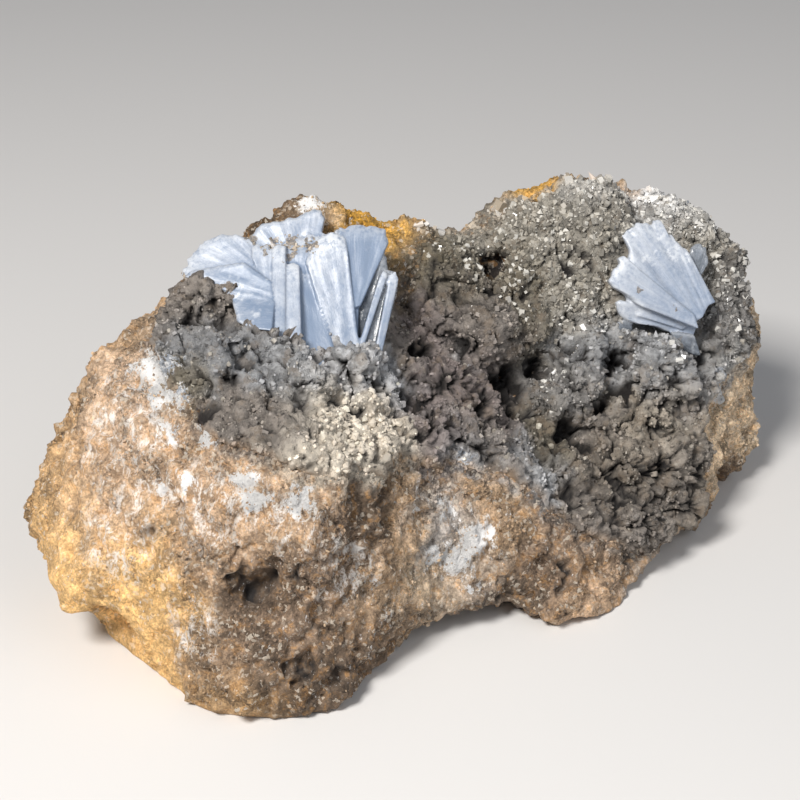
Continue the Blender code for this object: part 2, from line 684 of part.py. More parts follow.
def centre_on_origin(pieces):
    """Moves the specimen so that the origin is under the middle of its box, on the floor."""
    places = [vert.co for piece in pieces for vert in piece.data.vertices]
    low = [min(place[axis] for place in places) for axis in range(3)]
    high = [max(place[axis] for place in places) for axis in range(3)]
    shift = Vector((-(low[0] + high[0]) / 2, -(low[1] + high[1]) / 2, -low[2]))
    for piece in pieces:
        piece.data.transform(Matrix.Translation(shift))


def main():
    for left_over in list(bpy.data.objects):
        bpy.data.objects.remove(left_over)
    specimen = bpy.data.collections.new("barite_specimen")
    cutters = bpy.data.collections.new("cutters")
    for group in (specimen, cutters):
        bpy.context.scene.collection.children.link(group)
    matrix = make_matrix(specimen, cutters)
    grown_matrix = swollen(matrix, "grown_matrix", cutters)
    crust, grown_crust = make_crust(grown_matrix, specimen, cutters)
    barite = barite_material()
    neighbours = (grown_matrix, grown_crust)
    left = make_spray("barite_spray_left", LEFT_BLADES, LEFT_MIDDLE, barite, neighbours, specimen)
    right = make_spray("barite_spray_right", RIGHT_BLADES, RIGHT_MIDDLE, barite, neighbours, specimen)
    centre_on_origin([matrix, crust, left, right])


main()
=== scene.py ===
"""The looks of a barite specimen: rusty limonite, a dark crystal crust and two sprays of pale blue blades.

Lengths are in metres, and values times MM are millimetres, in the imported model's own frame.
"""

import math
import random

import bmesh
import bpy
import numpy as np
from mathutils import Matrix, Vector, noise
from mathutils.bvhtree import BVHTree
from mathutils.kdtree import KDTree

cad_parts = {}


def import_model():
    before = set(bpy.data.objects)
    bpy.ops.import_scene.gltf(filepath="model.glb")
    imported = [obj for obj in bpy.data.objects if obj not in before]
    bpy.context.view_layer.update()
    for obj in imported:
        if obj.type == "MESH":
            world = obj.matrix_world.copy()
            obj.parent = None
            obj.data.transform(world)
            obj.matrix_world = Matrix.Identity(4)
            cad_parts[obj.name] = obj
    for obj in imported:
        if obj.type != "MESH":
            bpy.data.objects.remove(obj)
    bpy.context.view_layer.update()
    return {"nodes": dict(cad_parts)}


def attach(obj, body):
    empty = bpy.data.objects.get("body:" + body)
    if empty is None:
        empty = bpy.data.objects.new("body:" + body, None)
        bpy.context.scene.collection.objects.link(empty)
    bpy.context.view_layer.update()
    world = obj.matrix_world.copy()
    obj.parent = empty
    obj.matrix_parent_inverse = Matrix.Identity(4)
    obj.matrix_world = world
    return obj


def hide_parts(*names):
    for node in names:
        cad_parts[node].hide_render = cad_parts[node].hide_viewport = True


MM = 0.001
BODY = "root"
# Noise vectors take their offsets from this seed, so each run gives the same surfaces.
NOISE_SEED = 3

# The side that the camera looks from, turned and lifted by these angles from -Y, and how far off it is.
VIEW_TURN = math.radians(-32)
VIEW_LIFT = math.radians(28)
VIEW_DISTANCE = 340 * MM
VIEW_TARGET = Vector((-9.2, -5.3, 33.0)) * MM
LENS = 93.6
SENSOR = 36


def direction(turn, lift):
    """The direction that is turned and lifted by these angles from -Y."""
    return Vector((math.sin(turn) * math.cos(lift), -math.cos(turn) * math.cos(lift), math.sin(lift)))


def facing_axes():
    """The directions to the right of, above and towards a viewer at the camera's side."""
    towards = direction(VIEW_TURN, VIEW_LIFT)
    aside = Vector((math.cos(VIEW_TURN), math.sin(VIEW_TURN), 0))
    return aside, towards.cross(aside), towards


# Node trees

def fill(tree, node, values):
    """Sets the node's named or numbered inputs, by a value or by a link from another node's output."""
    for name, value in values.items():
        if isinstance(value, bpy.types.NodeSocket):
            tree.links.new(value, node.inputs[name])
        else:
            node.inputs[name].default_value = value


def add(tree, kind, inputs=None, **settings):
    """A new node with its settings and its inputs."""
    made = tree.nodes.new(kind)
    for name, value in settings.items():
        setattr(made, name, value)
    fill(tree, made, inputs or {})
    return made


def calculate(tree, operation, *values):
    """The result of a Math node."""
    return add(tree, "ShaderNodeMath", dict(enumerate(values)), operation=operation).outputs[0]


def scaled(tree, value, factor, base=0.0):
    """The value times the factor, with the base added."""
    return calculate(tree, "MULTIPLY_ADD", value, factor, base)


def vector(tree, operation, inputs):
    """The result of a Vector Math node."""
    return add(tree, "ShaderNodeVectorMath", inputs, operation=operation).outputs[0]


def rise(tree, value, low, high):
    """0 below low, 1 above high and smooth between them; falls instead where high is under low."""
    ends = {"From Min": min(low, high), "From Max": max(low, high),
            "To Min": int(low > high), "To Max": int(low < high)}
    made = add(tree, "ShaderNodeMapRange", {"Value": value, **ends}, interpolation_type="SMOOTHSTEP")
    return made.outputs["Result"]


def grain(tree, place, spacing, detail, roughness, warp=0.0):
    """Soft noise with its spots about this many millimetres apart."""
    made = add(tree, "ShaderNodeTexNoise", {"Vector": place, "Scale": 1 / (spacing * MM), "Detail": detail,
                                            "Roughness": roughness, "Distortion": warp})
    return made.outputs[0]


def shake(tree, place, scale, detail, size):
    """Moves in all directions by soft noise, of up to half the size each way."""
    noisy = add(tree, "ShaderNodeTexNoise", {"Vector": place, "Scale": scale, "Detail": detail})
    centred = vector(tree, "SUBTRACT", {0: noisy.outputs["Color"], 1: (0.5, 0.5, 0.5)})
    return vector(tree, "SCALE", {0: centred, "Scale": size})


def cells(tree, place, spacing, output="Distance"):
    """Cells about this many millimetres apart."""
    return add(tree, "ShaderNodeTexVoronoi", {"Vector": place, "Scale": 1 / (spacing * MM)}).outputs[output]


def blend(tree, share, first, second, kind="MIX"):
    """A mix of two colours, each a finish or another node's output."""
    first, second = [(*each, 1.0) if isinstance(each, tuple) else each for each in (first, second)]
    made = add(tree, "ShaderNodeMix", {0: share, 6: first, 7: second},
               data_type="RGBA", blend_type=kind, clamp_factor=True)
    return made.outputs[2]


def shaded(tree, base, value, low, high):
    """The colour times a brightness, which is low for a value of 0 and high for 1."""
    light = add(tree, "ShaderNodeMapRange", {"Value": value, "To Min": low, "To Max": high})
    return blend(tree, 1.0, base, light.outputs["Result"], "MULTIPLY")


def roughen(tree, shader, height, strength, distance):
    """Gives a finish its fine relief; the distance is in millimetres."""
    bump = add(tree, "ShaderNodeBump", {"Height": height, "Strength": strength, "Distance": distance * MM})
    fill(tree, shader, {"Normal": bump.outputs["Normal"]})


def new_material(name):
    """An empty material, its tree, its shader node and object coordinates."""
    made = bpy.data.materials.new(name)
    made.use_nodes = True
    tree = made.node_tree
    shader = tree.nodes["Principled BSDF"]
    place = add(tree, "ShaderNodeTexCoord").outputs["Object"]
    return made, tree, shader, place


def attribute(tree, name, output="Fac"):
    return add(tree, "ShaderNodeAttribute", attribute_name=name).outputs[output]


# Meshes

WELD = 0.001 * MM


def new_object(name, data):
    made = bpy.data.objects.new(name, data)
    bpy.context.scene.collection.objects.link(made)
    return made


def new_mesh(name, bm):
    """The built surface as a mesh, which ends the building."""
    mesh = bpy.data.meshes.new(name)
    bm.to_mesh(mesh)
    bm.free()
    return mesh


def merged_copy(node, name):
    """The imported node's mesh as one closed surface, in an object of its own."""
    bm = bmesh.new()
    bm.from_mesh(node.data)
    bmesh.ops.remove_doubles(bm, verts=bm.verts, dist=WELD)
    return new_object(name, new_mesh(name, bm))


def settle(made):
    """Applies the object's modifiers."""
    bpy.context.view_layer.update()
    seen = made.evaluated_get(bpy.context.evaluated_depsgraph_get())
    mesh = bpy.data.meshes.new_from_object(seen)
    made.modifiers.clear()
    old = made.data
    made.data = mesh
    mesh.name = made.name
    bpy.data.meshes.remove(old)


def refine(made, voxel, rounds):
    """An even fine mesh of the object, smoothed to take the facets away."""
    even = made.modifiers.new("even", "REMESH")
    even.mode = "VOXEL"
    even.voxel_size = voxel * MM
    soft = made.modifiers.new("soft", "SMOOTH")
    soft.iterations = rounds
    settle(made)


def rows_of(items, name):
    """What the points or normals of a mesh say, as rows of three values."""
    rows = np.empty(len(items) * 3, np.float32)
    items.foreach_get(name, rows)
    return rows.reshape(-1, 3).astype(float)


def places_of(mesh):
    """The mesh's points in millimetres."""
    return rows_of(mesh.vertices, "co") / MM


def normals_of(mesh):
    return rows_of(mesh.vertex_normals, "vector")


def move_points(mesh, places):
    """Moves the mesh's points to these places in millimetres."""
    mesh.vertices.foreach_set("co", (places * MM).astype(np.float32).ravel())


def store(mesh, name, values, kind="FLOAT"):
    """Keeps a value or a colour for each point."""
    made = mesh.attributes.new(name, kind, "POINT")
    if kind == "FLOAT":
        made.data.foreach_set("value", np.asarray(values, np.float32))
    else:
        rows = np.column_stack([values, np.ones(len(values))])
        made.data.foreach_set("color", rows.astype(np.float32).ravel())


def unit(values):
    """The values, cut off at 0 and 1."""
    return np.clip(values, 0, 1)


def noise_at(places, spacing):
    """Smooth noise from -1 to 1 at each place, its spots about this many millimetres apart."""
    return np.array([noise.noise(Vector(p) / spacing) for p in places])


def wander(places, spacing, size):
    """The places in millimetres, moved by smooth noise, so that what they place has ragged edges."""
    return np.array([p + np.array(noise.noise_vector(Vector(p) / spacing)) * size for p in places])


def nearness(places, spots):
    """How strongly each spot (x, y, z, radius) in millimetres reaches each place: 1 at its middle."""
    reach = []
    for x, y, z, radius in spots:
        apart = np.linalg.norm(places - (x, y, z), axis=1) / radius
        reach.append(np.exp(-apart ** 2))
    return np.array(reach)


def tints(places, patches):
    """A colour for each place, mixed from the finishes whose spots are near it."""
    spots = [spot for group in patches.values() for spot in group]
    shades = np.array([finish for finish, group in patches.items() for _ in group])
    reach = nearness(places, spots) + 1e-9
    return (reach.T @ shades) / reach.sum(axis=0)[:, None]


def strongest(places, spots):
    return nearness(places, spots).max(axis=0)


def tree_of(made):
    return BVHTree.FromObject(made, bpy.context.evaluated_depsgraph_get())


def nearest(places, tree):
    """For places in millimetres: how far the surface is, and its normal there."""
    found = [tree.find_nearest(Vector(p) * MM) for p in places]
    return np.array([hit[3] for hit in found]) / MM, np.array([tuple(hit[1]) for hit in found])


def thickness_above(places, normals, tree, reach):
    """How much of the cover lies over each place, in millimetres: 0 where it is open."""
    found = []
    for p, n in zip(places, normals):
        start = Vector(p + n * reach) * MM
        hit = tree.ray_cast(start, -Vector(n), reach * MM)
        found.append(0.0 if hit[0] is None else reach - hit[3] / MM)
    return np.array(found)


def hollow(places, holes):
    """How deep the holes (x, y, z, radius, depth) reach at each place, in millimetres."""
    deep = np.zeros(len(places))
    for x, y, z, radius, depth in holes:
        share = np.exp(-(np.linalg.norm(places - (x, y, z), axis=1) / radius) ** 4)
        deep = np.maximum(deep, share * depth)
    return deep


def broken(places):
    """Uneven shares around 1, which break up the edges and floors of holes."""
    return np.maximum(0.1, 0.95 + 1.1 * noise_at(places, 1.2))


# Finishes in linear light, as a maker would name them
OCHRE = (0.55, 0.355, 0.18)
YELLOW_OCHRE = (0.76, 0.48, 0.2)
BUFF = (0.52, 0.36, 0.235)
PALE_BUFF = (0.68, 0.50, 0.36)
GOLD_RUST = (0.82, 0.43, 0.04)
RUST = (0.52, 0.36, 0.225)
# A dark rind brown; on the low front lobe it is partly painted shade, darker than the stone there.
RIND_AND_SHADE = (0.25, 0.175, 0.12)
# A dark umber, mostly painted shade on the low front and in the bowl of holes; elsewhere the stone's own
# dark brown.
UMBER_AND_SHADE = (0.13, 0.09, 0.06)
STONE_GREY = (0.36, 0.29, 0.23)
CHALK = (0.86, 0.85, 0.84)
SAND = (0.78, 0.60, 0.41)
TAUPE = (0.25, 0.22, 0.195)
DUSK = (0.23, 0.195, 0.155)
WARM_GREY = (0.47, 0.41, 0.33)
SLATE = (0.26, 0.265, 0.275)
LIGHT_SLATE = (0.37, 0.375, 0.385)
PALE_SLATE = (0.47, 0.475, 0.49)
PURPLE_BROWN = (0.215, 0.178, 0.168)
PEWTER = (0.245, 0.235, 0.225)
KHAKI = (0.345, 0.32, 0.275)
OLIVE = (0.15, 0.13, 0.095)
CREAM = (0.68, 0.61, 0.51)
ASH = (0.58, 0.57, 0.55)
# Near black painted shade, put in holes, gaps, pits and seams where light does not reach.
HOLE_SHADE = (0.018, 0.015, 0.014)
BRIGHT_RUST = (0.46, 0.235, 0.07)
PALE_GRAIN = (0.78, 0.68, 0.56)
WHITE_BLOOM = (0.90, 0.85, 0.80)
# Painted shade of small pores in the coarse limonite.
PORE_SHADE = (0.06, 0.037, 0.024)
GREY_CALCITE = (0.40, 0.42, 0.46)
BROWN_STAIN = (0.23, 0.165, 0.105)
PALE_DUST = (0.48, 0.44, 0.38)
BLUE_GREY = (0.33, 0.36, 0.41)
# A frost white for blade tips and wisps, also used for painted glints.
FROST_AND_GLINT = (0.76, 0.80, 0.86)
DARK_GRIT = (0.05, 0.04, 0.035)
PALE_GRIT = (0.36, 0.29, 0.22)

# Spots are (x, y, z, radius) in millimetres. The limonite's patches of colour are spots of each finish.
STONE_PATCHES = {
    YELLOW_OCHRE: [(-67, 4, 14, 11), (-60, -10, 10, 9), (-57, -12, 20, 6)],
    BUFF: [(-62, 0, 28, 9), (-58, 8, 38, 8), (-55, -10, 32, 8), (-52, -20, 26, 6), (-46, -26, 33, 7),
        (12, -33, 5, 6)],
    PALE_BUFF: [(-57, 4, 41, 7)],
    RUST: [(-45, -27, 31, 4), (-30, -31, 17, 6), (-20, -27, 25, 6), (-6, -28, 19, 6), (42, 10, 55, 6),
        (-40, 34, 24, 18)],
    # Partly painted shade: these rind patches darken the low front lobe, which faces away from the light.
    RIND_AND_SHADE: [(-54, -22, 10, 6), (-48, -28, 16, 7), (-42, -31, 22, 8), (-38, -33, 10, 8), (-34, -31, 26, 6),
        (-25, -31, 9, 6), (6, -31, 10, 5), (52, -14, 4, 5), (0, 34, 12, 16), (46, 24, 8, 14)],
    # Painted shade: umber on the underside at the front and in the bowl of holes, with some of the stone's
    # own dark brown.
    UMBER_AND_SHADE: [(-47.5, -24, 20.5, 4.5), (-41, -35, 4, 8), (-35, -34, 3, 6), (-28, -28, 30, 5),
        (-25, -32, 2, 5), (-10, -32, 2, 4), (-5, -31, 4, 4), (-13, 20, 61, 7), (-30, 20, 55, 6)],
    OCHRE: [(-50, -28, 3, 5), (0, 34, 40, 18), (40, 28, 34, 16), (-62, 22, 24, 12)],
    LIGHT_SLATE: [(-13, -27, 21, 4.5), (-14.5, -26.5, 16.5, 2.8)],
    ASH: [(-16.5, -26, 25, 2.5), (-10, 17, 60.5, 3), (55, 0, 46, 5)],
    SAND: [(-19, -28, 13, 6), (49, -17.5, 18, 6), (59, -12, 18, 8), (64, -2, 30, 7), (53, -17, 14, 5)],
    STONE_GREY: [(-10, -29, 8, 6), (22, -31, 2, 5)],
    GOLD_RUST: [(-8, 17.5, 59.8, 3.5), (-4, 16, 59, 5), (0, 14, 57, 5), (1.5, 12, 55.4, 3.5),
        (30, 12, 56, 5)],
    OLIVE: [(4.5, 8.5, 53, 3), (-1, 6, 51, 5)],
    KHAKI: [(8, 13, 53.5, 5), (17, 14, 52.4, 5), (24, 12, 54.5, 4)],
    TAUPE: [(-37, 14, 51, 5), (-33, 9, 52, 4)],
    CHALK: [(52, 5, 50, 4)],
}
# Massive white calcite on the limonite, and where a thin white bloom mottles it.
CALCITE_SPOTS = [
    (-47.6, 2.5, 46.2, 4.2), (-48.4, -1.5, 45.2, 3.8), (-50.5, -1.5, 44, 2.2), (-56.6, -11.7, 33.8, 1.7),
    (-53.9, -14.9, 36.2, 1.7), (-53, -8.8, 41.8, 1.7), (-49.2, -13.9, 42.6, 1.6), (-55.6, -7.5, 39, 1),
    (-47, -22.7, 38, 2), (-47, -24.5, 35.5, 1.8), (-41.6, -28.5, 35.3, 2), (-14, -25, 29, 1.8),
    (-15, -26.6, 15.6, 1.5), (-11.8, -27, 13.6, 2.4), (-9.6, -26.9, 15.2, 2.8), (-7.6, -27.2, 17, 2.6),
    (-6, -27.4, 18.6, 1.8), (-9.5, -29, 8.6, 1.5), (-16.5, -26, 25, 1.4), (-12.5, -25.5, 23.5, 2),
    (-8.5, -26.5, 21, 1.4), (3, -29.5, 17, 1.2), (52, 5, 50, 3.6), (-12, 18.5, 60.5, 2.2),
    (51, -16, 22.5, 2), (20, 34, 40, 3), (-30, 35, 30, 3),
]
BLOOM_SPOTS = [
    (-59, 2, 37, 8), (-57, 4, 42, 7), (-54, -3, 41, 5), (-56, -9, 34, 8), (-51, -18, 33, 8),
    (-45, -26, 34, 5), (-60, -6, 24, 7), (-41, -29, 31, 6), (-54, -20, 14, 6), (-12, -27, 20, 4),
    (-16, -27, 27, 3), (-34, -31, 22, 6), (54, 0, 46, 5), (10, 34, 40, 9), (-40, 34, 30, 9),
]
# Where the limonite is powdery and smooth, and the ridges that carry larger clear crystals.
POWDERY_SPOTS = [(-67, 3, 14, 13), (-60, -12, 8, 9), (-66, 4, 28, 9)]
RIM_SPOTS = [
    (7, 12.6, 53.8, 2.6), (10.8, 13.5, 52.7, 2.6), (17, 13.5, 52.4, 2.6), (21.9, 12, 53.8, 2.6),
    (25.6, 11.5, 55.4, 2), (34.7, 9.4, 56.6, 2.8), (42, 10, 55.6, 3), (49, 6, 52, 2.6),
]
# A thin white vein down the front, as points in millimetres.
VEIN = [(-30.5, -32.0, 19.5), (-28.6, -32.2, 15.5), (-27.6, -32.4, 12.0), (-29.5, -32.8, 8.5)]
VEIN_WIDTH = 1.1
# Holes broken into the limonite, and where it is worn back: (x, y, z, radius, depth) in millimetres.
STONE_HOLES = [
    (-47.8, -23.4, 21.4, 2.4, 1.5), (-46.6, -24.8, 19.4, 2, 1.5), (-45, -25.3, 21.8, 1.6, 1.4),
    (-50.6, -22.4, 21.9, 1.4, 1.4), (-52.8, -24.6, 18.4, 1.3, 1.4), (6.2, -32, 9.4, 1.8, 2.2),
    (5.4, -32.8, 7.2, 1.5, 1.8), (-50.6, -26, 26, 2.2, 2.2), (-43, -30, 24, 1.6, 1.8),
    (-1.6, -31.5, 7.2, 2.4, 2.6), (-5.5, -31.5, 4, 3, 2.8), (-11, -30, 6, 1.4, 1.6),
    (-56.6, -14.5, 30.5, 2.4, 1.6), (-59.5, -11.5, 26.7, 2, 1.2), (-41.5, -32.8, 15.2, 1.5, 2),
    (-24.2, -27.8, 29.2, 2.2, 1.6), (-43.8, -33.8, 9, 2.8, 1.8), (-38, -34, 6.5, 2.2, 1.4),
    (2.4, -31, 10.2, 1.8, 1.6), (-33, -30, 25, 1.2, 1),
]
STONE_DENTS = [(-62.5, -4, 4.5, 6, 4.5)]
# How far the edges of patches, crystals and holes stray, as (spacing, distance) in millimetres.
PATCH_WANDER = (4.5, 4.0)
CALCITE_WANDER = (1.8, 1.8)
VEIN_WANDER = (2.0, 0.9)
BLOOM_WANDER = (3.0, 3.0)
HOLE_WANDER = (1.5, 1.5)
CRUST_WANDER = (3.0, 3.2)
DRUSE_WANDER = (3.0, 2.5)
CREAM_WANDER = (2.0, 1.5)
SPRAY_WANDER = (1.2, 1.3)
STONE_VOXEL = 0.62
# How far the stone's fine relief stands up or down, in millimetres: (spacing, height) each.
STONE_CHIPS = (5.5, 1.4)
STONE_LUMPS = (3.2, 1.3)
STONE_GRAIN = (1.25, 0.42)
STONE_CREASES = (4.5, 1.1)
CREASE_WIDTH = 0.16
# The whole relief sinks by this much and calcite stands up by this much, and near the floor both fade out.
STONE_SINK = 0.25
CALCITE_LIFT = 0.45
FLOOR_FADE = 1.5
# Under the crust's thin edge the stone is raised to meet it, and where the crust gets thicker it sinks.
THIN_CRUST = (1.2, 2.0)
THIN_LIFT = 0.5
CRUST_REACH = 2.2
UNDER_CRUST = -0.8
# How far over the stone the crust is looked for, and the voxel of the coarse stone that is asked first.
COVER_SEARCH = 14.0
SAMPLE_VOXEL = 1.1


def stone_relief(p):
    """How far broken limonite stands out at a place in millimetres."""
    place = Vector(p)
    warped = place + noise.noise_vector(place / 5.0) * 1.8
    near, second = noise.voronoi(warped / STONE_CHIPS[0])[0][:2]
    chips = (second - near - 0.3) * STONE_CHIPS[1]
    lumps = noise.fractal(warped / STONE_LUMPS[0], 0.75, 2.1, 4) * STONE_LUMPS[1]
    grains = noise.noise(place / STONE_GRAIN[0]) * STONE_GRAIN[1]
    ridge = abs(noise.noise(warped / STONE_CREASES[0] + Vector((3, 1, 8))))
    crease = max(0.0, CREASE_WIDTH - ridge) / CREASE_WIDTH
    return chips + lumps + grains - crease * STONE_CREASES[1] * max(0.0, noise.noise(place / 9) + 0.25)


def distance_to_line(places, line):
    """How far each place is from a line through the points."""
    best = np.full(len(places), 1e9)
    for a, b in zip(np.array(line[:-1]), np.array(line[1:])):
        along = b - a
        share = np.clip((places - a) @ along / (along @ along), 0, 1)
        best = np.minimum(best, np.linalg.norm(places - a - share[:, None] * along, axis=1))
    return best


def bare_stone(stone, crust):
    """The places of the stone with no crust over them, as a tree to look for the nearest of them."""
    sample = merged_copy(stone, "sample")
    refine(sample, SAMPLE_VOXEL, 3)
    places = places_of(sample.data)
    thick = thickness_above(places, normals_of(sample.data), tree_of(crust), COVER_SEARCH)
    bpy.data.objects.remove(sample)
    bare = KDTree(int((thick == 0).sum()))
    for index, place in enumerate(places[thick == 0]):
        bare.insert(place, index)
    bare.balance()
    return bare


def inside_crust(places, bare):
    """0 near the crust's rim and 1 well inside it."""
    return unit(np.array([bare.find(place)[2] for place in places]) - CRUST_REACH)


def make_limonite(node, crust, bare):
    """The limonite block with its broken, grainy surface and its patches of colour."""
    made = merged_copy(node, "limonite_block")
    refine(made, STONE_VOXEL, 8)
    mesh = made.data
    places = places_of(mesh)
    normals = normals_of(mesh)
    cover = tree_of(crust)
    thick = thickness_above(places, normals, cover, COVER_SEARCH)
    near_crust, _ = nearest(places, cover)
    powdery = strongest(places, POWDERY_SPOTS)
    height = np.array([stone_relief(p) for p in places]) * (1 - 0.55 * powdery)
    height -= STONE_SINK
    calcite = strongest(wander(places, *CALCITE_WANDER), CALCITE_SPOTS)
    vein = distance_to_line(wander(places, *VEIN_WANDER), VEIN)
    calcite = np.maximum(calcite, np.exp(-(vein / VEIN_WIDTH) ** 2))
    height += CALCITE_LIFT * unit(calcite * 2 - 0.6)
    frayed = wander(places, *HOLE_WANDER)
    deep = hollow(frayed, STONE_HOLES) * broken(places)
    height -= deep + hollow(places, STONE_DENTS)
    thin, covered = THIN_CRUST
    under = np.maximum(unit((thick - thin) / (covered - thin)), inside_crust(places, bare))
    height = np.where(thick > 0, (height * 0.5 + THIN_LIFT) * (1 - under) + UNDER_CRUST * under, height)
    buried = (thick > 0) & (under >= 1)
    gap = np.where(thick > 0, hollow(frayed, CRUST_HOLES), 0)
    height -= gap
    height *= unit(places[:, 2] / FLOOR_FADE)
    moved = places + normals * height[:, None]
    moved[:, 2] = np.maximum(moved[:, 2], 0)
    move_points(mesh, moved)
    strayed = wander(places, *PATCH_WANDER)
    crusty = np.clip(np.exp(-(near_crust / 1.6) ** 2) * 1.2 + (thick > 0) * 0.4, 0, 0.85)
    blotches = noise_at(places, 1.6) * 1.4 + 0.3
    crusty = unit(crusty * unit(blotches + crusty * 0.6))[:, None]
    tint = tints(strayed, STONE_PATCHES) * (1 - crusty) + tints(strayed, CRUST_PATCHES) * crusty
    # Painted shade: stone that the crust hides, or that shows through its holes, is tinted near black.
    tint = np.where((buried | (gap > 0.3))[:, None], np.array(HOLE_SHADE) * 2, tint)
    store(mesh, "tint", tint, "FLOAT_COLOR")
    store(mesh, "calcite", np.where(buried, 0, calcite))
    store(mesh, "bloom", np.where(buried, 0, strongest(wander(places, *BLOOM_WANDER), BLOOM_SPOTS)))
    # How deep the holes are, used only to paint shade into them.
    store(mesh, "depth", unit(deep / 1.8))
    seam = np.exp(-(near_crust / 1.4) ** 2)
    clumps = np.clip(0.55 + 1.3 * noise_at(places, 4.2), 0.1, 1)
    coarse = np.maximum((1 - 0.9 * powdery) * clumps, seam)
    clear = ~buried * (gap < 0.3) * (deep < 0.4) * unit(places[:, 2] / 2 - 0.5)
    store(mesh, "coarse", coarse * clear)
    store(mesh, "rim", unit(strongest(places, RIM_SPOTS) * 2 - 0.7) * ~buried)
    mesh.shade_smooth()
    mesh.materials.append(limonite_finish())
    return made


def limonite_finish():
    """Powdery rust with brighter and darker grains, a white bloom, painted shade in holes and pores, and
    hard white calcite.
    """
    made, tree, shader, place = new_material("limonite")
    coarse = attribute(tree, "coarse")
    strength = scaled(tree, coarse, 0.6, 0.3)
    mottle = rise(tree, grain(tree, place, 3.6, 5, 0.65), 0.34, 0.66)
    base = shaded(tree, attribute(tree, "tint", "Color"), mottle, 0.65, 1.32)
    rusty = rise(tree, grain(tree, place, 1.8, 4, 0.7, 0.4), 0.50, 0.64)
    base = blend(tree, scaled(tree, rusty, 0.5), base, BRIGHT_RUST)
    upright = add(tree, "ShaderNodeMapping", {"Vector": place, "Scale": (1.0, 1.0, 0.42)}).outputs[0]
    loose = vector(tree, "ADD", {0: place, 1: shake(tree, place, 1 / (0.5 * MM), 3.0, 0.8 * MM)})
    each = add(tree, "ShaderNodeSeparateColor", {0: cells(tree, loose, 0.55, "Color")}).outputs
    fine = rise(tree, grain(tree, place, 0.4, 3, 0.7), 0.3, 0.7)
    base = shaded(tree, base, fine, 0.68, 1.32)
    base = blend(tree, strength, base, shaded(tree, base, each[0], 0.5, 1.5))
    bright = scaled(tree, rise(tree, each[1], 0.86, 0.94), strength)
    base = blend(tree, bright, base, PALE_GRAIN)
    streaks = rise(tree, grain(tree, upright, 2.0, 7, 0.82, 0.4), 0.50, 0.60)
    bloom = scaled(tree, streaks, rise(tree, attribute(tree, "bloom"), 0.2, 0.7))
    base = blend(tree, scaled(tree, bloom, 0.9), base, WHITE_BLOOM)
    # Painted shade: dark pores spotted over the coarse parts.
    dark = rise(tree, grain(tree, place, 1.2, 6, 0.8), 0.47, 0.36)
    base = blend(tree, scaled(tree, dark, strength), base, PORE_SHADE)
    # Painted shade in the holes, darker where they are deeper.
    base = blend(tree, attribute(tree, "depth"), base, HOLE_SHADE)
    ragged = scaled(tree, grain(tree, upright, 1.1, 6, 0.85), 2.6, attribute(tree, "calcite"))
    cloudy = rise(tree, grain(tree, place, 1.2, 5, 0.75), 0.33, 0.44)
    base = blend(tree, rise(tree, ragged, 1.56, 1.76), base, blend(tree, cloudy, GREY_CALCITE, CHALK))
    pits = scaled(tree, cells(tree, loose, 0.55), -0.35)
    relief = scaled(tree, grain(tree, place, 0.9, 6, 0.8), 1.4, pits)
    roughen(tree, shader, relief, scaled(tree, coarse, 0.6, 0.4), 0.8)
    fill(tree, shader, {"Base Color": base, "Roughness": 0.85})
    return made


# The crust's patches of colour, as spots of each finish.
CRUST_PATCHES = {
    TAUPE: [(-40, 11, 49, 5), (-30, 2, 49, 4), (-26, -3, 45, 3), (-44, -12, 43, 3), (-9, -3, 41, 3),
        (-38, -19, 41, 4), (8, -1, 40, 6), (-2, -16, 28, 5), (40, -14, 25, 4), (23, -15, 22, 5),
        (33, -21, 14, 7), (24, -27, 8, 8)],
    SLATE: [(-42, 5, 48, 3), (-39, -3, 46.5, 4.5)],
    LIGHT_SLATE: [(-31, -9, 44, 4), (-6, -18, 28, 4), (4, -18, 22, 4), (28, -6.5, 32, 5),
        (39, -11, 29, 6)],
    OLIVE: [(-46, -4, 46, 3), (12, -14, 24, 4), (17, -1, 37, 4), (8, 9.5, 50, 6), (6, 5, 46, 5),
        (19, 4, 44, 5)],
    PALE_SLATE: [(-21, -7, 42, 5), (-15, -9, 38, 4)],
    CREAM: [(-34, -24, 38, 5), (-27, -20, 39, 6), (-20, -18, 37, 4)],
    PURPLE_BROWN: [(0, 1, 42.5, 4), (-3, -7, 35, 5), (1, -11, 30, 6), (-9, -15, 32, 5)],
    CHALK: [(3.1, -4.4, 36.5, 1.6), (48, 7, 53, 4)],
    PEWTER: [(20, -10, 28.5, 5), (51, -9, 32, 6), (61, -6, 36, 5)],
    WARM_GREY: [(33, -17, 20, 6)],
    DUSK: [(25, -21, 17, 6), (36, -24, 6, 6)],
    KHAKI: [(27, 8, 50, 8), (37, 6, 51, 8), (14, 10, 51, 5), (29, 0, 41, 6), (55, -2, 43, 5)],
    ASH: [(29, -1, 36.5, 2.5), (36, 8, 55, 4), (48, 4, 49, 5), (57, 2.5, 47.5, 4), (52, -13, 24, 4)],
}
# Where small dark crystals and where cream ones cover the crust.
DRUSE_SPOTS = [
    (27, 8, 50, 9), (37, 6, 51, 9), (10, 9.5, 50, 7), (3, 8, 50, 3.5), (19, 4, 44, 7), (29, 0, 41, 8),
    (17, -1, 38, 5), (46, 3, 49, 7), (55, 0, 46, 7), (53, -7, 36, 7), (61, -5, 36, 5), (8, -1, 40, 5),
    (20, -10, 29, 5), (40, -12, 30, 5),
]
CREAM_SPOTS = [
    (-34, -24, 38, 5), (-28, -21, 39, 6), (-20, -18, 37, 4.5), (-24, -14, 40, 3), (-20, -9, 42, 2.5),
    (-15, -10, 38, 3), (-38, -10, 44, 1.8), (-47, -6, 46, 2.5), (29, -2, 36.5, 3), (4, -6, 34, 2.5),
    (10, -15, 25, 3), (-8, -20, 27, 3),
]
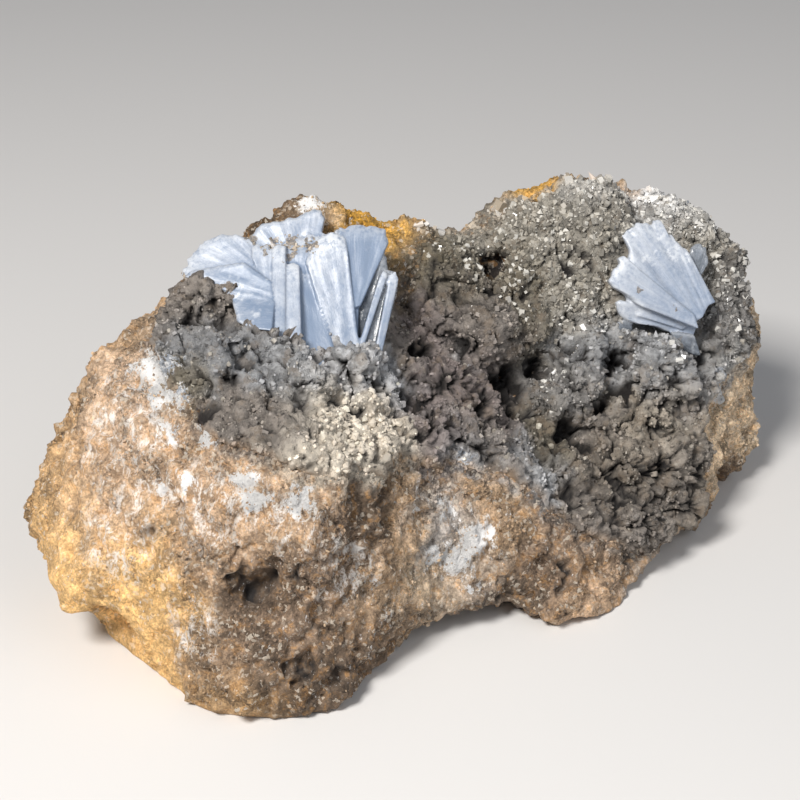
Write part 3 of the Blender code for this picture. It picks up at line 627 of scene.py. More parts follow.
# Where the crust is crumbly with long gaps, not knobbly, and where white or blue-grey crystal lies on it.
CRUMBLY_SPOTS = [
    (-3, -7, 35, 7), (1, -11, 30, 8), (-9, -15, 32, 6), (-2, -16, 28, 6), (25, -21, 17, 8),
    (33, -20, 15, 8), (24, -27, 8, 8), (36, -24, 6, 7), (34, -15, 22, 6), (-40, 10, 49, 6),
    (-28, 0, 47, 6),
]
CRUST_WHITE = [
    (-47.8, 0.8, 46.4, 3.2), (-47, 4, 46.8, 2.4), (-48.5, -5.5, 45, 2), (3.1, -4.4, 36.5, 2.4),
    (-6, -19.5, 27.5, 2.2), (-30, -27.5, 36.5, 1.8), (29, -1, 36.5, 1.8), (50, -14.5, 24.5, 2.2),
    (14, -24, 15, 1.5), (18, -27, 11, 1.4), (54, 5.5, 50, 2.8), (57, 3.5, 48.5, 2.4),
    (-14.5, -23.5, 27.5, 1.8), (-3, -22, 24, 1.6), (8, -21.5, 19, 1.5), (5.2, -4.6, 35.6, 1.8),
]
# Holes between the knobs, painted black as shade: (x, y, z, radius, depth) in millimetres.
CRUST_HOLES = [
    (-4.2, -3.5, 39.1, 2.2, 4.5), (10.4, -7.1, 31.5, 3.2, 5), (8.5, -9.5, 28.5, 1.8, 3.5),
    (17.6, -14.9, 23.1, 2.4, 4), (25, -12.5, 24.5, 2.4, 4), (32.4, -8.6, 29.6, 2, 3.5),
    (16.5, 6.3, 46, 2.4, 3.5), (13, 2, 43, 1.8, 2.5), (23, 2.5, 43, 1.4, 2), (-47.2, -10.6, 43.5, 2, 2.4),
    (-37.6, -6, 45.7, 1.5, 2.6), (-27.7, -6.9, 44.3, 1.8, 2.6), (-34, -12, 42.5, 1.2, 1.6),
    (19, -17.3, 20.9, 2, 3), (-12.3, -10.2, 36.1, 2.2, 3.6), (-8, -10, 34, 1.4, 2.2),
    (17.4, -6, 31.6, 2.2, 3.5), (45.9, 3.6, 50.2, 2.2, 3), (27, -17, 18.5, 1.6, 2.4),
    (38, -17.5, 18, 1.4, 2.2), (5, -14, 27, 1.3, 2),
]
# Where the crust swells around the feet of the left spray: (x, y, z, radius, height) in millimetres.
CRUST_SWELLS = [
    (-36.8, 10.2, 51.2, 3.4, 3.6), (-34.2, 8.4, 51.8, 2.8, 2.4), (-38.8, 12.5, 50.3, 3.2, 2.4),
    (-34.5, -1.1, 49, 2.4, 1.6), (-31.6, -3.9, 48.5, 2.4, 1.6), (-29.3, -5.9, 47.6, 2.4, 1.6),
    (-25.8, -7.9, 45.9, 2.4, 1.4), (-21.1, -9.8, 45.4, 2.4, 1.4), (-17.2, -11.1, 44.9, 2.4, 1.2),
]
CRUST_VOXEL = 0.44
# The crust's clumps, crumbs and cracks, in millimetres: (spacing, height) each.
CLUMPS = (4.4, 2.1)
KNOBS = (3.0, 0.85)
CRUMBS = (1.5, 0.75)
SPECKS = (0.9, 0.24)
FLAKES = (1.5, 0.55)
CRACKS = (4.6, 2.0)
LONG_CRACKS = (2.3, 2.5)
# Knobs reach this share of their spacing.
KNOB_REACH = 0.9
# Near its rim, crust thinner than the first value slopes down into the stone, by this share of the rest.
RIM_SLOPE = (1.7, 0.6)


def dome(place, spacing):
    """0 in the seams between knobs and 1 on their tops."""
    near = noise.voronoi(place / spacing)[0][0]
    return math.sqrt(max(0.0, 1 - (near / KNOB_REACH) ** 2))


def crack(place, spacing, width):
    """1 along the middle of crooked cracks, 0 between them."""
    return max(0.0, width - abs(noise.noise(place / spacing + Vector((4, 9, 2))))) / width


def crust_relief(p, crumbly, druse):
    """How far the crust stands out at a place in millimetres."""
    place = Vector(p)
    warped = place + noise.noise_vector(place / 2.5) * 0.9 + noise.noise_vector(place / 0.9) * 0.35
    clumps = noise.fractal(warped / CLUMPS[0], 0.8, 2.2, 4) * CLUMPS[1]
    height = clumps * (0.75 + 0.35 * crumbly) * (1 - 0.3 * druse)
    height += (dome(warped, KNOBS[0]) - 0.65) * KNOBS[1] * (1 - 0.6 * crumbly)
    height += (dome(warped, CRUMBS[0]) - 0.65) * CRUMBS[1]
    height += (dome(place, SPECKS[0]) - 0.65) * SPECKS[1]
    long = Vector((warped.x, warped.y, warped.z * 0.45))
    height -= crack(warped, CRACKS[0], 0.10) * CRACKS[1] * (1 - 0.7 * druse)
    height -= crack(long, LONG_CRACKS[0], 0.14) * LONG_CRACKS[1] * crumbly
    height -= crack(warped, FLAKES[0], 0.2) * FLAKES[1]
    return height


def make_crust(node, stone, bare):
    """The dark crust with its knobs, crumbs and gaps, which carries where its crystals grow."""
    made = merged_copy(node, "dark_crust")
    refine(made, CRUST_VOXEL, 5)
    mesh = made.data
    places = places_of(mesh)
    move_points(mesh, places + normals_of(mesh) * hollow(places, CRUST_SWELLS)[:, None])
    refine(made, CRUST_VOXEL, 1)
    mesh = made.data
    places = places_of(mesh)
    normals = normals_of(mesh)
    thick, upwards = nearest(places, tree_of(stone))
    outer = unit((thick - 0.45) / 0.5) * (np.einsum("ij,ij->i", normals, upwards) > -0.2)
    strayed = wander(places, *DRUSE_WANDER)
    crumbly = unit(strongest(strayed, CRUMBLY_SPOTS) * 1.6 - 0.3)
    druse = unit(strongest(strayed, DRUSE_SPOTS) * 1.6 - 0.3)
    cream = unit(strongest(wander(places, *CREAM_WANDER), CREAM_SPOTS) * 1.6 - 0.4)
    height = np.array([crust_relief(p, c, d) for p, c, d in zip(places, crumbly, druse)])
    height = np.maximum(height, 0.8 - np.maximum(thick, 0.8))
    deep = hollow(wander(places, *HOLE_WANDER), CRUST_HOLES) * broken(places)
    inner = inside_crust(places, bare)
    sunk = np.clip(RIM_SLOPE[0] - thick, 0, RIM_SLOPE[0]) * RIM_SLOPE[1] * (1 - inner)
    move_points(mesh, places + normals * (height * outer)[:, None] - upwards * (deep + sunk)[:, None])
    thin = (deep < 0.25) * unit(1.6 - thick) * unit(noise_at(places, 1.5) + 0.7) * (1 - inner)
    thin = thin[:, None]
    strayed = wander(places, *CRUST_WANDER)
    tint = tints(strayed, CRUST_PATCHES) * (1 - thin) + tints(strayed, STONE_PATCHES) * thin
    # Low places and holes in the crust, painted black as shade.
    gaps = unit(np.maximum(-height * (1 + 0.4 * crumbly) - 0.5, deep / 1.2))
    open_to_air = outer * unit(1 - gaps * 2)
    store(mesh, "tint", tint, "FLOAT_COLOR")
    store(mesh, "gaps", gaps)
    store(mesh, "druse", druse * open_to_air)
    store(mesh, "cream", cream * open_to_air)
    store(mesh, "open", open_to_air * np.clip(0.4 + 2.2 * noise_at(places, 3.5), 0.06, 1))
    store(mesh, "white", strongest(wander(places, *CALCITE_WANDER), CRUST_WHITE) * open_to_air)
    store(mesh, "rim", unit(strongest(places, RIM_SPOTS) * 2 - 0.7) * open_to_air)
    mesh.shade_smooth()
    mesh.materials.append(crust_finish())
    return made


def crust_finish():
    """Dull dark crust with pale dust, brown stains and white crystal on it, and painted black shade in its
    gaps.
    """
    made, tree, shader, place = new_material("crust")
    mottle = rise(tree, grain(tree, place, 2.6, 5, 0.65), 0.34, 0.66)
    base = shaded(tree, attribute(tree, "tint", "Color"), mottle, 0.62, 1.4)
    brown = rise(tree, grain(tree, place, 3.0, 4, 0.65, 0.3), 0.50, 0.64)
    base = blend(tree, scaled(tree, brown, 0.4), base, BROWN_STAIN)
    dust = rise(tree, grain(tree, place, 0.6, 4, 0.75), 0.54, 0.70)
    base = blend(tree, scaled(tree, dust, 0.45), base, PALE_DUST)
    # Painted shade: small dark pits spotted over the crust.
    dark = rise(tree, grain(tree, place, 1.1, 5, 0.75), 0.45, 0.35)
    base = blend(tree, scaled(tree, dark, 0.75), base, HOLE_SHADE)
    ragged = scaled(tree, grain(tree, place, 1.2, 6, 0.85), 1.9, attribute(tree, "white"))
    cloudy = rise(tree, grain(tree, place, 1.3, 4, 0.7), 0.42, 0.60)
    base = blend(tree, rise(tree, ragged, 1.30, 1.52), base, blend(tree, cloudy, BLUE_GREY, CHALK))
    # Painted shade in the crust's gaps and holes.
    base = blend(tree, attribute(tree, "gaps"), base, HOLE_SHADE)
    relief = scaled(tree, grain(tree, place, 0.22, 2, 0.6), 0.35, grain(tree, place, 0.8, 5, 0.78))
    roughen(tree, shader, relief, 0.9, 0.8)
    fill(tree, shader, {"Base Color": base, "Roughness": 0.62})
    return made


# Grains and small crystals, strewn by Geometry Nodes

# The solids that grains are made from, about 1 across.
GRAIN_SOLIDS = {
    "lump": ("GeometryNodeMeshIcoSphere", {"Radius": 0.5, "Subdivisions": 1}),
    "block": ("GeometryNodeMeshCube", {"Size": (0.9, 0.8, 0.7)}),
    "point": ("GeometryNodeMeshCone",
              {"Vertices": 6, "Radius Top": 0.0, "Radius Bottom": 0.45, "Depth": 1.1}),
}
# Mixtures of grains: each solid and how strongly it is bent.
LUMPS = [("lump", 0.5), ("lump", 0.9), ("block", 0.5)]
PEBBLES = [("lump", 0.3), ("lump", 0.5), ("lump", 0.7)]
CRYSTALS = [("block", 0.15), ("point", 0.1), ("block", 0.3), ("point", 0.2)]
POINTS = [("point", 0.1), ("point", 0.2), ("block", 0.15)]
# The higher this power, the more of the grains are small.
SIZE_BIAS = 2.5
HALF_TURN = 3.14
LUCK_SEED = 7


def grain_shapes(tree, kinds):
    """One instance each of the shapes that grains are picked from."""
    together = tree.nodes.new("GeometryNodeGeometryToInstance")
    for kind, bend in kinds:
        solid = add(tree, *GRAIN_SOLIDS[kind]).outputs["Mesh"]
        place = add(tree, "GeometryNodeInputPosition").outputs[0]
        bent = add(tree, "GeometryNodeSetPosition",
                   {"Geometry": solid, "Offset": shake(tree, place, 1.3 + bend, 1.0, bend)})
        tree.links.new(bent.outputs[0], together.inputs[0])
    return together.outputs[0]


def chance(tree, low, high, seed):
    """A random value or vector between low and high for each grain."""
    kind, output = ("FLOAT_VECTOR", 0) if isinstance(low, tuple) else ("FLOAT", 1)
    made = add(tree, "FunctionNodeRandomValue", {"Min": low, "Max": high, "Seed": seed}, data_type=kind)
    return made.outputs[output]


def grain_tree(name, kinds, where, finish):
    """A node group that strews grains over a mesh where its attribute says, each of a random shape."""
    tree = bpy.data.node_groups.new(name, "GeometryNodeTree")
    labels = {"Geometry": "Geometry", "Spacing": "Float", "Density": "Float", "Smallest": "Float",
              "Largest": "Float", "Seed": "Int"}
    for label, kind in labels.items():
        tree.interface.new_socket(label, in_out="INPUT", socket_type="NodeSocket" + kind)
    tree.interface.new_socket("Geometry", in_out="OUTPUT", socket_type="NodeSocketGeometry")
    given = tree.nodes.new("NodeGroupInput").outputs
    seed = given["Seed"]
    share = add(tree, "GeometryNodeInputNamedAttribute", {"Name": where}, data_type="FLOAT")
    strewn = add(tree, "GeometryNodeDistributePointsOnFaces",
                 {"Mesh": given["Geometry"], "Distance Min": given["Spacing"], "Seed": seed,
                  "Density Max": given["Density"], "Density Factor": share.outputs["Attribute"]},
                 distribute_method="POISSON")
    bias = calculate(tree, "POWER", chance(tree, 0.0, 1.0, seed), SIZE_BIAS)
    size = add(tree, "ShaderNodeMapRange",
               {"Value": bias, "To Min": given["Smallest"], "To Max": given["Largest"]})
    flat = chance(tree, (0.7, 0.7, 0.6), (1.2, 1.1, 1.0), seed)
    turn = chance(tree, (-HALF_TURN,) * 3, (HALF_TURN,) * 3, seed)
    placed = add(tree, "GeometryNodeInstanceOnPoints",
                 {"Points": strewn.outputs["Points"], "Instance": grain_shapes(tree, kinds),
                  "Pick Instance": True, "Rotation": turn,
                  "Scale": vector(tree, "SCALE", {0: flat, "Scale": size.outputs["Result"]})})
    luck = chance(tree, 0.0, 1.0, LUCK_SEED)
    marked = add(tree, "GeometryNodeStoreNamedAttribute",
                 {"Geometry": placed.outputs[0], "Name": "luck", "Value": luck},
                 data_type="FLOAT", domain="INSTANCE")
    real = add(tree, "GeometryNodeRealizeInstances", {0: marked.outputs[0]})
    sharp = add(tree, "GeometryNodeSetShadeSmooth", {0: real.outputs[0], "Shade Smooth": False})
    done = add(tree, "GeometryNodeSetMaterial", {"Geometry": sharp.outputs[0], "Material": finish})
    add(tree, "NodeGroupOutput", {0: done.outputs[0]})
    return tree


def strew(name, ground, tree, seed, spacing, density, smallest, largest):
    """A piece of grains strewn over the ground: sizes in millimetres, grains per square millimetre."""
    made = new_object(name, ground.data.copy())
    step = made.modifiers.new("grains", "NODES")
    step.node_group = tree
    values = {"Spacing": spacing * MM, "Density": density / MM / MM, "Smallest": smallest * MM,
              "Largest": largest * MM, "Seed": seed}
    for socket in tree.interface.items_tree:
        if socket.in_out == "INPUT" and socket.name in values:
            step[socket.identifier] = values[socket.name]
    settle(made)
    return made


def grain_finish(name, bright, roughness, transmission, lift, chosen=(0.80, 0.97)):
    """Grains tinted like their ground, each a little lighter or darker, some of them bright."""
    made, tree, shader, _ = new_material(name)
    luck = attribute(tree, "luck")
    base = shaded(tree, attribute(tree, "tint", "Color"), luck, *lift)
    base = blend(tree, scaled(tree, rise(tree, luck, *chosen), 0.85), base, bright)
    fill(tree, shader, {"Base Color": base, "Roughness": roughness, "Transmission Weight": transmission,
                        "IOR": 1.6})
    return made


def make_grains(limonite, crust, left):
    """The grains on the limonite, and those that grew on the crust and its neighbours."""
    druse = grain_finish("druse", (0.90, 0.88, 0.82), 0.22, 0.2, (0.6, 2.0), (0.72, 0.95))
    cream = grain_finish("cream_grains", (0.84, 0.80, 0.68), 0.35, 0.15, (0.8, 1.6), (0.6, 0.95))
    clear = grain_finish("clear_grains", (0.93, 0.94, 0.95), 0.12, 0.35, (1.4, 3.0), (0.45, 0.85))
    crumb = grain_finish("crumbs", (0.34, 0.31, 0.26), 0.6, 0.0, (0.5, 1.5))
    rust = grain_finish("rust_grains", (0.50, 0.37, 0.24), 0.8, 0.0, (0.5, 1.25), (0.85, 0.99))
    grown = [
        strew("druse_crystals", crust, grain_tree("druse", CRYSTALS, "druse", druse), 3,
              spacing=0.38, density=5.0, smallest=0.35, largest=1.3),
        strew("cream_crystals", crust, grain_tree("cream", PEBBLES, "cream", cream), 5,
              spacing=0.5, density=2.4, smallest=0.5, largest=1.7),
        strew("crust_crumbs", crust, grain_tree("crumbs", LUMPS, "open", crumb), 9,
              spacing=0.45, density=2.2, smallest=0.28, largest=1.0),
        strew("spray_grit", left, grain_tree("spray_grit", LUMPS, "grit", crumb), 13,
              spacing=0.3, density=6.0, smallest=0.2, largest=0.7),
    ]
    gritty = strew("limonite_grains", limonite, grain_tree("grit", LUMPS, "coarse", rust), 11,
                   spacing=0.5, density=0.85, smallest=0.22, largest=0.7)
    points = grain_tree("rim_points", POINTS, "rim", clear)
    for name, ground, seed in (("rim_crystals", crust, 15), ("ridge_crystals", limonite, 16)):
        grown.append(strew(name, ground, points, seed, spacing=0.9, density=2.5, smallest=0.8, largest=2.4))
    return gritty, grown


# Barite sprays

# The blades of each spray: root line, tip line, (front, tilt right, tilt up), thickness, relief, raggedness
# and finish, with the lines as (right, up) and all in millimetres about the spray's middle.
LEFT_MIDDLE = (-25.04, -1.0, 53.3)
LEFT_BLADES = {
    "core": ([(-8.5, -4.5), (0, -8), (9, -8)], [(-10.5, 3.5), (-5, 8.5), (4, 9.5), (9.2, 0.5)],
         (-2.6, -0.06, -0.24), 3.6, 0.20, 0.02, "shaded"),
    "back_lobe": ([(-5, 7.6), (2.5, 8.4)], [(-8.8, 9.6), (-8.5, 10.7), (-7.1, 12.6), (-3.6, 13.5),
         (0, 14.3), (1.3, 15.4), (2.8, 15.3), (3.6, 13.7)], (-4.5, 0, -0.3), 4.0, 0.45, 0.07, "milky"),
    "upper_blade": ([(-2, 3), (3, 3)], [(-3.1, 9.4), (-0.6, 10.7), (1.9, 10.9), (6.5, 12.1)],
         (-3.2, -0.12, -0.3), 4.4, 0.35, 0.09, "milky"),
    "upper_fan": ([(-4, 1.5), (-4, 4.7)], [(-19.4, 4.2), (-19, 6.2), (-17, 9), (-14.2, 10.8), (-11, 11.2),
         (-8.4, 10.2), (-6.6, 8.3)], (-1.2, 0.1, -0.38), 3.2, 0.40, 0.05, "frosty"),
    "middle_blade": ([(-5, 0.5), (-3.8, -0.5)], [(-8, 7.4), (-7.8, 9), (-6, 9.4), (-4.2, 8.2)],
         (-0.3, 0, -0.38), 3.2, 0.30, 0.08, "milky"),
    "lower_fan": ([(-4, -3.6), (-4.2, 0.6), (-4.6, 3)], [(-4.3, -5.5), (-6, -5), (-8.5, -4.2), (-9.9, -2),
         (-10.9, 0), (-12.5, 1.6), (-15.3, 2.9), (-18.9, 3.9), (-16.8, 5), (-13.4, 5.6), (-9, 6.1)],
         (1.2, 0.12, -0.38), 3.4, 0.30, 0.04, "dull"),
    "low_blade": ([(-4.1, -5), (-3.9, -0.4)], [(-8.2, -4.5), (-9.9, -3.4), (-10.6, -1), (-10.2, 0.4)],
         (1, 0.1, -0.72), 2.8, 0.25, 0.06, "dull"),
    "prism": ([(-4.2, -8.6), (-2.1, -8.6)], [(-4.5, 8.8), (-3.4, 9.2), (-2.4, 8.9)],
         (0.5, 0, -0.42), 3.2, 0.12, 0.02, "prism"),
    "second_prism": ([(-2, -9.2), (0.5, -9.2)], [(-2.2, 5.7), (-1.2, 6.1), (-0.2, 5.6)],
         (0.1, 0.05, -0.42), 3.2, 0.12, 0.02, "prism"),
    "inner_plate": ([(0, -10.3), (3.2, -11), (6.3, -10.6)], [(-0.6, 5.8), (0.9, 5.2), (1.6, 4)],
         (-2, -0.1, -0.32), 2.8, 0.30, 0.04, "shaded"),
    "long_plate": ([(5.6, -9.4), (8.2, -10.4), (9.5, -9)], [(0.7, 6.5), (1.3, 8.4), (2.6, 10.3),
         (5.3, 11.2), (6.8, 10.6), (7.3, 8.6)], (-1.6, -0.1, -0.2), 3.0, 0.30, 0.03, "milky"),
    "wedge": ([(8.5, -1.2), (9.5, -0.8)], [(5.9, 10.4), (5.8, 12), (9.6, 12.5), (13.5, 12.2),
         (13.9, 9.6)], (-0.8, -0.22, -0.25), 3.2, 0.28, 0.04, "shaded"),
    "glassy_blade": ([(8.7, -7.4), (9.5, -8)], [(10.2, 3.2), (11.4, 6), (13.4, 8.3), (13.9, 5.6)],
         (-1.9, -0.25, -0.1), 2.2, 0.20, 0.05, "glassy"),
    "glassy_rib": ([(9.2, -7), (10, -7.4)], [(12.4, 3.6), (13.2, 5.4), (13.8, 4.4)],
         (0.3, -0.25, -0.12), 1.2, 0.10, 0.04, "milky"),
    "right_blade": ([(9.8, -8.4), (12.6, -8.6)], [(12.8, 3), (13.4, 5.6), (14.6, 5.2), (15.4, 3.9),
         (15.3, 1.8)], (-0.2, -0.3, -0.15), 2.2, 0.20, 0.05, "glassy"),
    "right_rib": ([(11.6, -8.6), (12.8, -8.6)], [(14.2, 4.6), (15, 5), (15.5, 3.6)],
         (0.7, -0.3, -0.15), 1.2, 0.10, 0.04, "milky"),
}
RIGHT_MIDDLE = (41.36, -9.8, 43.0)
RIGHT_BLADES = {
    "core": ([(3.5, -7.5), (7, -5)], [(-5, -5), (-7, -1), (-5.5, 5), (0, 7.5), (4, 4.5)],
         (-2.9, -0.2, -0.05), 2.6, 0.20, 0.02, "grey"),
    "glassy_blades": ([(5.2, 3.4), (6.8, 1.4)], [(5.4, 7.2), (6.6, 8.2), (8, 7.4), (8.6, 4.6)],
         (-4.2, -0.2, -0.1), 2.4, 0.35, 0.12, "glassy"),
    "broad_fan": ([(5, -6.4), (6.9, -5.4), (8, -3.3), (9.3, -2.7)], [(-6, 4.2), (-6, 6.8), (-7.3, 9.2),
         (-6, 10.6), (-4.3, 11.1), (-2.5, 11.3), (-1.5, 10.7), (-1.3, 11.7), (0, 11.9), (0.9, 9.8),
         (1.8, 9.6), (2.4, 8.3), (3.5, 7.4), (4.7, 6.4), (5.8, 4.2), (7.3, 1.2)],
         (-2.2, -0.22, -0.2), 2.8, 0.32, 0.035, "grey"),
    "middle_fan": ([(6, -7.4), (5.4, -5)], [(-4.7, -3.3), (-7.3, -1.2), (-9.4, -0.1), (-10, 1),
         (-9.2, 2.3), (-8.3, 3.3), (-8.3, 4.9), (-7.1, 5.3), (-5.4, 3.6)],
         (-1.2, -0.2, -0.12), 2.8, 0.30, 0.04, "grey"),
    "low_fan": ([(5.4, -8.9), (6.2, -6.7)], [(0.5, -7.6), (-2.5, -6.4), (-4.7, -6.5), (-6.8, -5.7),
         (-8.1, -4.4), (-8.5, -2.9), (-7.5, -2.4), (-4.5, -3.1)],
         (-1.9, -0.2, 0.2), 2.8, 0.25, 0.03, "grey"),
    "root_blade": ([(5.8, -11.9), (6.8, -11.9)], [(3.9, -11.2), (1.7, -9.3), (1.3, -7.6), (5.4, -8)],
         (-2, -0.1, 0.1), 2.6, 0.25, 0.08, "glassy"),
    "round_blade": ([(-6.6, -8.7), (-5.2, -7.6)], [(-8.1, -7.6), (-7.9, -6.2), (-6.6, -5.7),
         (-5.2, -6.1)], (-2.2, -0.1, 0.2), 1.8, 0.20, 0.04, "glassy"),
}
# Dull grit caught on the sprays, and painted highlights (glints) on them, as (right, up, radius) in
# millimetres.
LEFT_GRIT = [
    (-8.4, 10.3, 1.1), (-4.6, 9.2, 1.2), (-1.6, 9.6, 1.5), (-1.5, 7.2, 1.1), (1.4, 8.9, 1.2),
    (-11.6, 2.2, 0.5), (5, 12.2, 1.2), (-18.6, 4.2, 0.8), (-5.6, 7.9, 0.7),
]
RIGHT_GRIT = [(1.6, -4, 0.7), (-4, -1, 0.5)]
LEFT_GLINTS = [
    (-9.6, 1.6, 0.5), (-8, 0.6, 0.5), (-6.6, -1.8, 0.5), (-6.9, -3.2, 0.6), (-8.4, -4, 0.5),
    (-10, 3.4, 0.5), (5, 10.2, 1.2), (3.9, 9, 1), (0.6, 10.6, 0.9), (-5, 4.2, 0.5),
]
RIGHT_GLINTS = [
    (0.1, 8.6, 0.9), (2.4, 6.6, 1.2), (1.6, 5.2, 0.9), (4.2, 5.4, 1), (-6.9, 4.2, 0.9), (-3, 5, 0.6),
    (-4.4, -4.4, 0.8), (5, -10.6, 0.6),
]
# Blueness and share of white of each finish; the shaded one is painted shade for blades that lie in shadow
BLADE_TONES = {"milky": (0.38, 0.0), "frosty": (0.4, 0.05), "prism": (0.5, 0.2), "grey": (0.6, 0.05),
               "dull": (0.16, -0.15), "shaded": (-0.35, -0.3), "glassy": (0.3, 0.0)}
# The steps of a blade's mesh: how many along it, and how far apart across it, in millimetres.
BLADE_STATIONS = 22
ACROSS_STEP = 0.30
# The plates in a blade: their width, the steps between them and how wide the steps' edges are.
PLATE_WIDTH = 2.0
PLATE_STEP = 0.2
PLATE_EDGE = 0.16
# The front slopes back at the tip, from this share of the length on, over the rest of it.
TIP_START = 0.94
TIP_LENGTH = 0.06
TIP_SLOPE = 0.4
SPRAY_VOXEL = 0.23


def along_line(line, share):
    """The point this share of the way along a line of points."""
    points = [Vector(p) for p in line]
    lengths = [(b - a).length for a, b in zip(points, points[1:])]
    left = share * sum(lengths)
    for a, b, length in zip(points, points[1:], lengths):
        if left <= length:
            return a.lerp(b, left / max(length, 1e-9))
        left -= length
    return points[-1]


def ripple(value, spacing, number):
    """Smooth noise along a line in millimetres, from -1 to 1."""
    return noise.noise(Vector((value / spacing, number * 3.7, number * 1.3)))


def soft_step(value):
    return 0.5 + 0.5 * math.tanh(value)


def blade_mesh(bm, blade, number, middle, pick, marks):
    """Adds one blade, ridged along its length in front, flat at its back and ragged at its tip."""
    root, tip, (ahead, lean_right, lean_up), thick, relief, ragged, finish = blade
    aside, upwards, outwards = facing_axes()
    width = sum((Vector(b) - Vector(a)).length for a, b in zip(tip, tip[1:]))
    columns = max(8, int(width / ACROSS_STEP))
    steps = [(pick.uniform(0.08, 0.92), pick.uniform(-PLATE_STEP, PLATE_STEP))
             for _ in range(int(width / PLATE_WIDTH))]
    steps = steps if relief > 0.15 else []
    shade, paler = BLADE_TONES[finish]
    rows = []
    for column in range(columns + 1):
        share = column / columns
        across = share * width
        start = along_line(root, share)
        cut = ragged * (0.5 + ripple(across, 1.1, number) + 0.8 * ripple(across, 0.45, number + 40))
        end = start.lerp(along_line(tip, share), 1 - max(0.0, cut))
        length = (end - start).length
        ridge = (ripple(across, 2.6, number + 7) + 0.5 * ripple(across, 0.9, number + 9)
                 + 0.22 * ripple(across, 0.4, number + 11)) * relief * 0.7
        ridge += sum(size * soft_step((share - at) * width / PLATE_EDGE) for at, size in steps)
        front, back = [], []
        for k in range(BLADE_STATIONS + 1):
            along = k / BLADE_STATIONS
            flat = start.lerp(end, along)
            level = ahead + lean_right * flat.x + lean_up * flat.y
            swell = 0.16 * noise.noise(Vector((across * 0.5, along * length * 0.35, number * 2.1)))
            slope = max(0.0, along - TIP_START) / TIP_LENGTH
            near = level + ridge * (0.3 + 0.7 * along) + swell - slope * TIP_SLOPE * thick * 0.5
            tone = shade + 0.28 * ripple(across, 1.6, number + 21) + 0.14 * ripple(across, 0.5, number + 23)
            tone += 0.35 * (along - 0.5)
            white = max(0.0, (along - 0.60) / 0.40) ** 1.6 + paler
            for line, out in ((front, near), (back, level - thick)):
                place = Vector(middle) + aside * flat.x + upwards * flat.y + outwards * out
                line.append(bm.verts.new(place * MM))
                marks.append((across, along * length, number, tone, white, finish == "glassy", *flat))
        rows.append((front, back))
    close_blade(bm, rows)


def close_blade(bm, rows):
    """Spans the blade's front, back and edges between its rows of points."""
    faces = []
    for (front, back), (next_front, next_back) in zip(rows, rows[1:]):
        for k in range(BLADE_STATIONS):
            faces.append((front[k], front[k + 1], next_front[k + 1], next_front[k]))
            faces.append((back[k], next_back[k], next_back[k + 1], back[k + 1]))
        faces.append((front[0], next_front[0], next_back[0], back[0]))
        faces.append((front[-1], back[-1], next_back[-1], next_front[-1]))
    for (front, back), first in ((rows[0], True), (rows[-1], False)):
        for k in range(BLADE_STATIONS):
            face = (front[k], back[k], back[k + 1], front[k + 1])
            faces.append(face if first else tuple(reversed(face)))
    for face in faces:
        bm.faces.new(face)


def marked_again(places, sources, marks):
    """The marks of the blades for new places: mixed from the nearest points of the nearest blade."""
    tree = KDTree(len(sources))
    for index, source in enumerate(sources):
        tree.insert(source, index)
    tree.balance()
    found = []
    for place in places:
        hits = tree.find_n(place, 5)
        number = marks[hits[0][1], 2]
        hits = [(index, 1 / (apart + 0.02)) for _, index, apart in hits if marks[index, 2] == number]
        weights = np.array([weight for _, weight in hits])
        found.append(marks[[index for index, _ in hits]].T @ weights / weights.sum())
    return np.array(found)


def spots_on(flat, spots):
    """How strongly the spots (right, up, radius) reach each place, 1 at the middle."""
    reach = [np.exp(-(np.linalg.norm(flat - (x, y), axis=1) / radius) ** 2) for x, y, radius in spots]
    return np.array(reach).max(axis=0)


def make_spray(name, blades, middle, seed, grit, glints, finishes):
    """All blades of one spray, grown into one mass."""
    pick = random.Random(seed)
    bm = bmesh.new()
    marks = []
    for number, blade in enumerate(blades.values()):
        blade_mesh(bm, blade, number + seed, middle, pick, marks)
    bmesh.ops.recalc_face_normals(bm, faces=bm.faces)
    made = new_object(name, new_mesh(name, bm))
    sources = places_of(made.data)
    refine(made, SPRAY_VOXEL, 2)
    mesh = made.data
    places = places_of(mesh)
    found = marked_again(places, sources, np.array(marks, float))
    across, along, number, tone, white, glass, right, up = found.T
    strayed = np.column_stack([right, up]) + (wander(places, *SPRAY_WANDER) - places)[:, :2]
    cleave = np.column_stack([across, along / 9, number * 10]) * MM
    held = mesh.attributes.new("cleave", "FLOAT_VECTOR", "POINT")
    held.data.foreach_set("vector", cleave.astype(np.float32).ravel())
    store(mesh, "tone", tone)
    # Whiter tips, and painted highlights at the glint spots.
    store(mesh, "frost_and_glints", np.clip(white + spots_on(strayed, glints), 0, 1.3))
    store(mesh, "grit", unit(spots_on(strayed, grit) * 1.6 - 0.35))
    store(mesh, "tint", np.tile(np.array(DUSK) * 1.7, (len(places), 1)), "FLOAT_COLOR")
    for finish in finishes:
        mesh.materials.append(finish)
    corners = np.empty(len(mesh.loops), np.int32)
    mesh.loops.foreach_get("vertex_index", corners)
    starts = np.empty(len(mesh.polygons), np.int32)
    mesh.polygons.foreach_get("loop_start", starts)
    mesh.polygons.foreach_set("material_index", (glass[corners[starts]] > 0.5).astype(np.int32))
    mesh.shade_smooth()
    return made


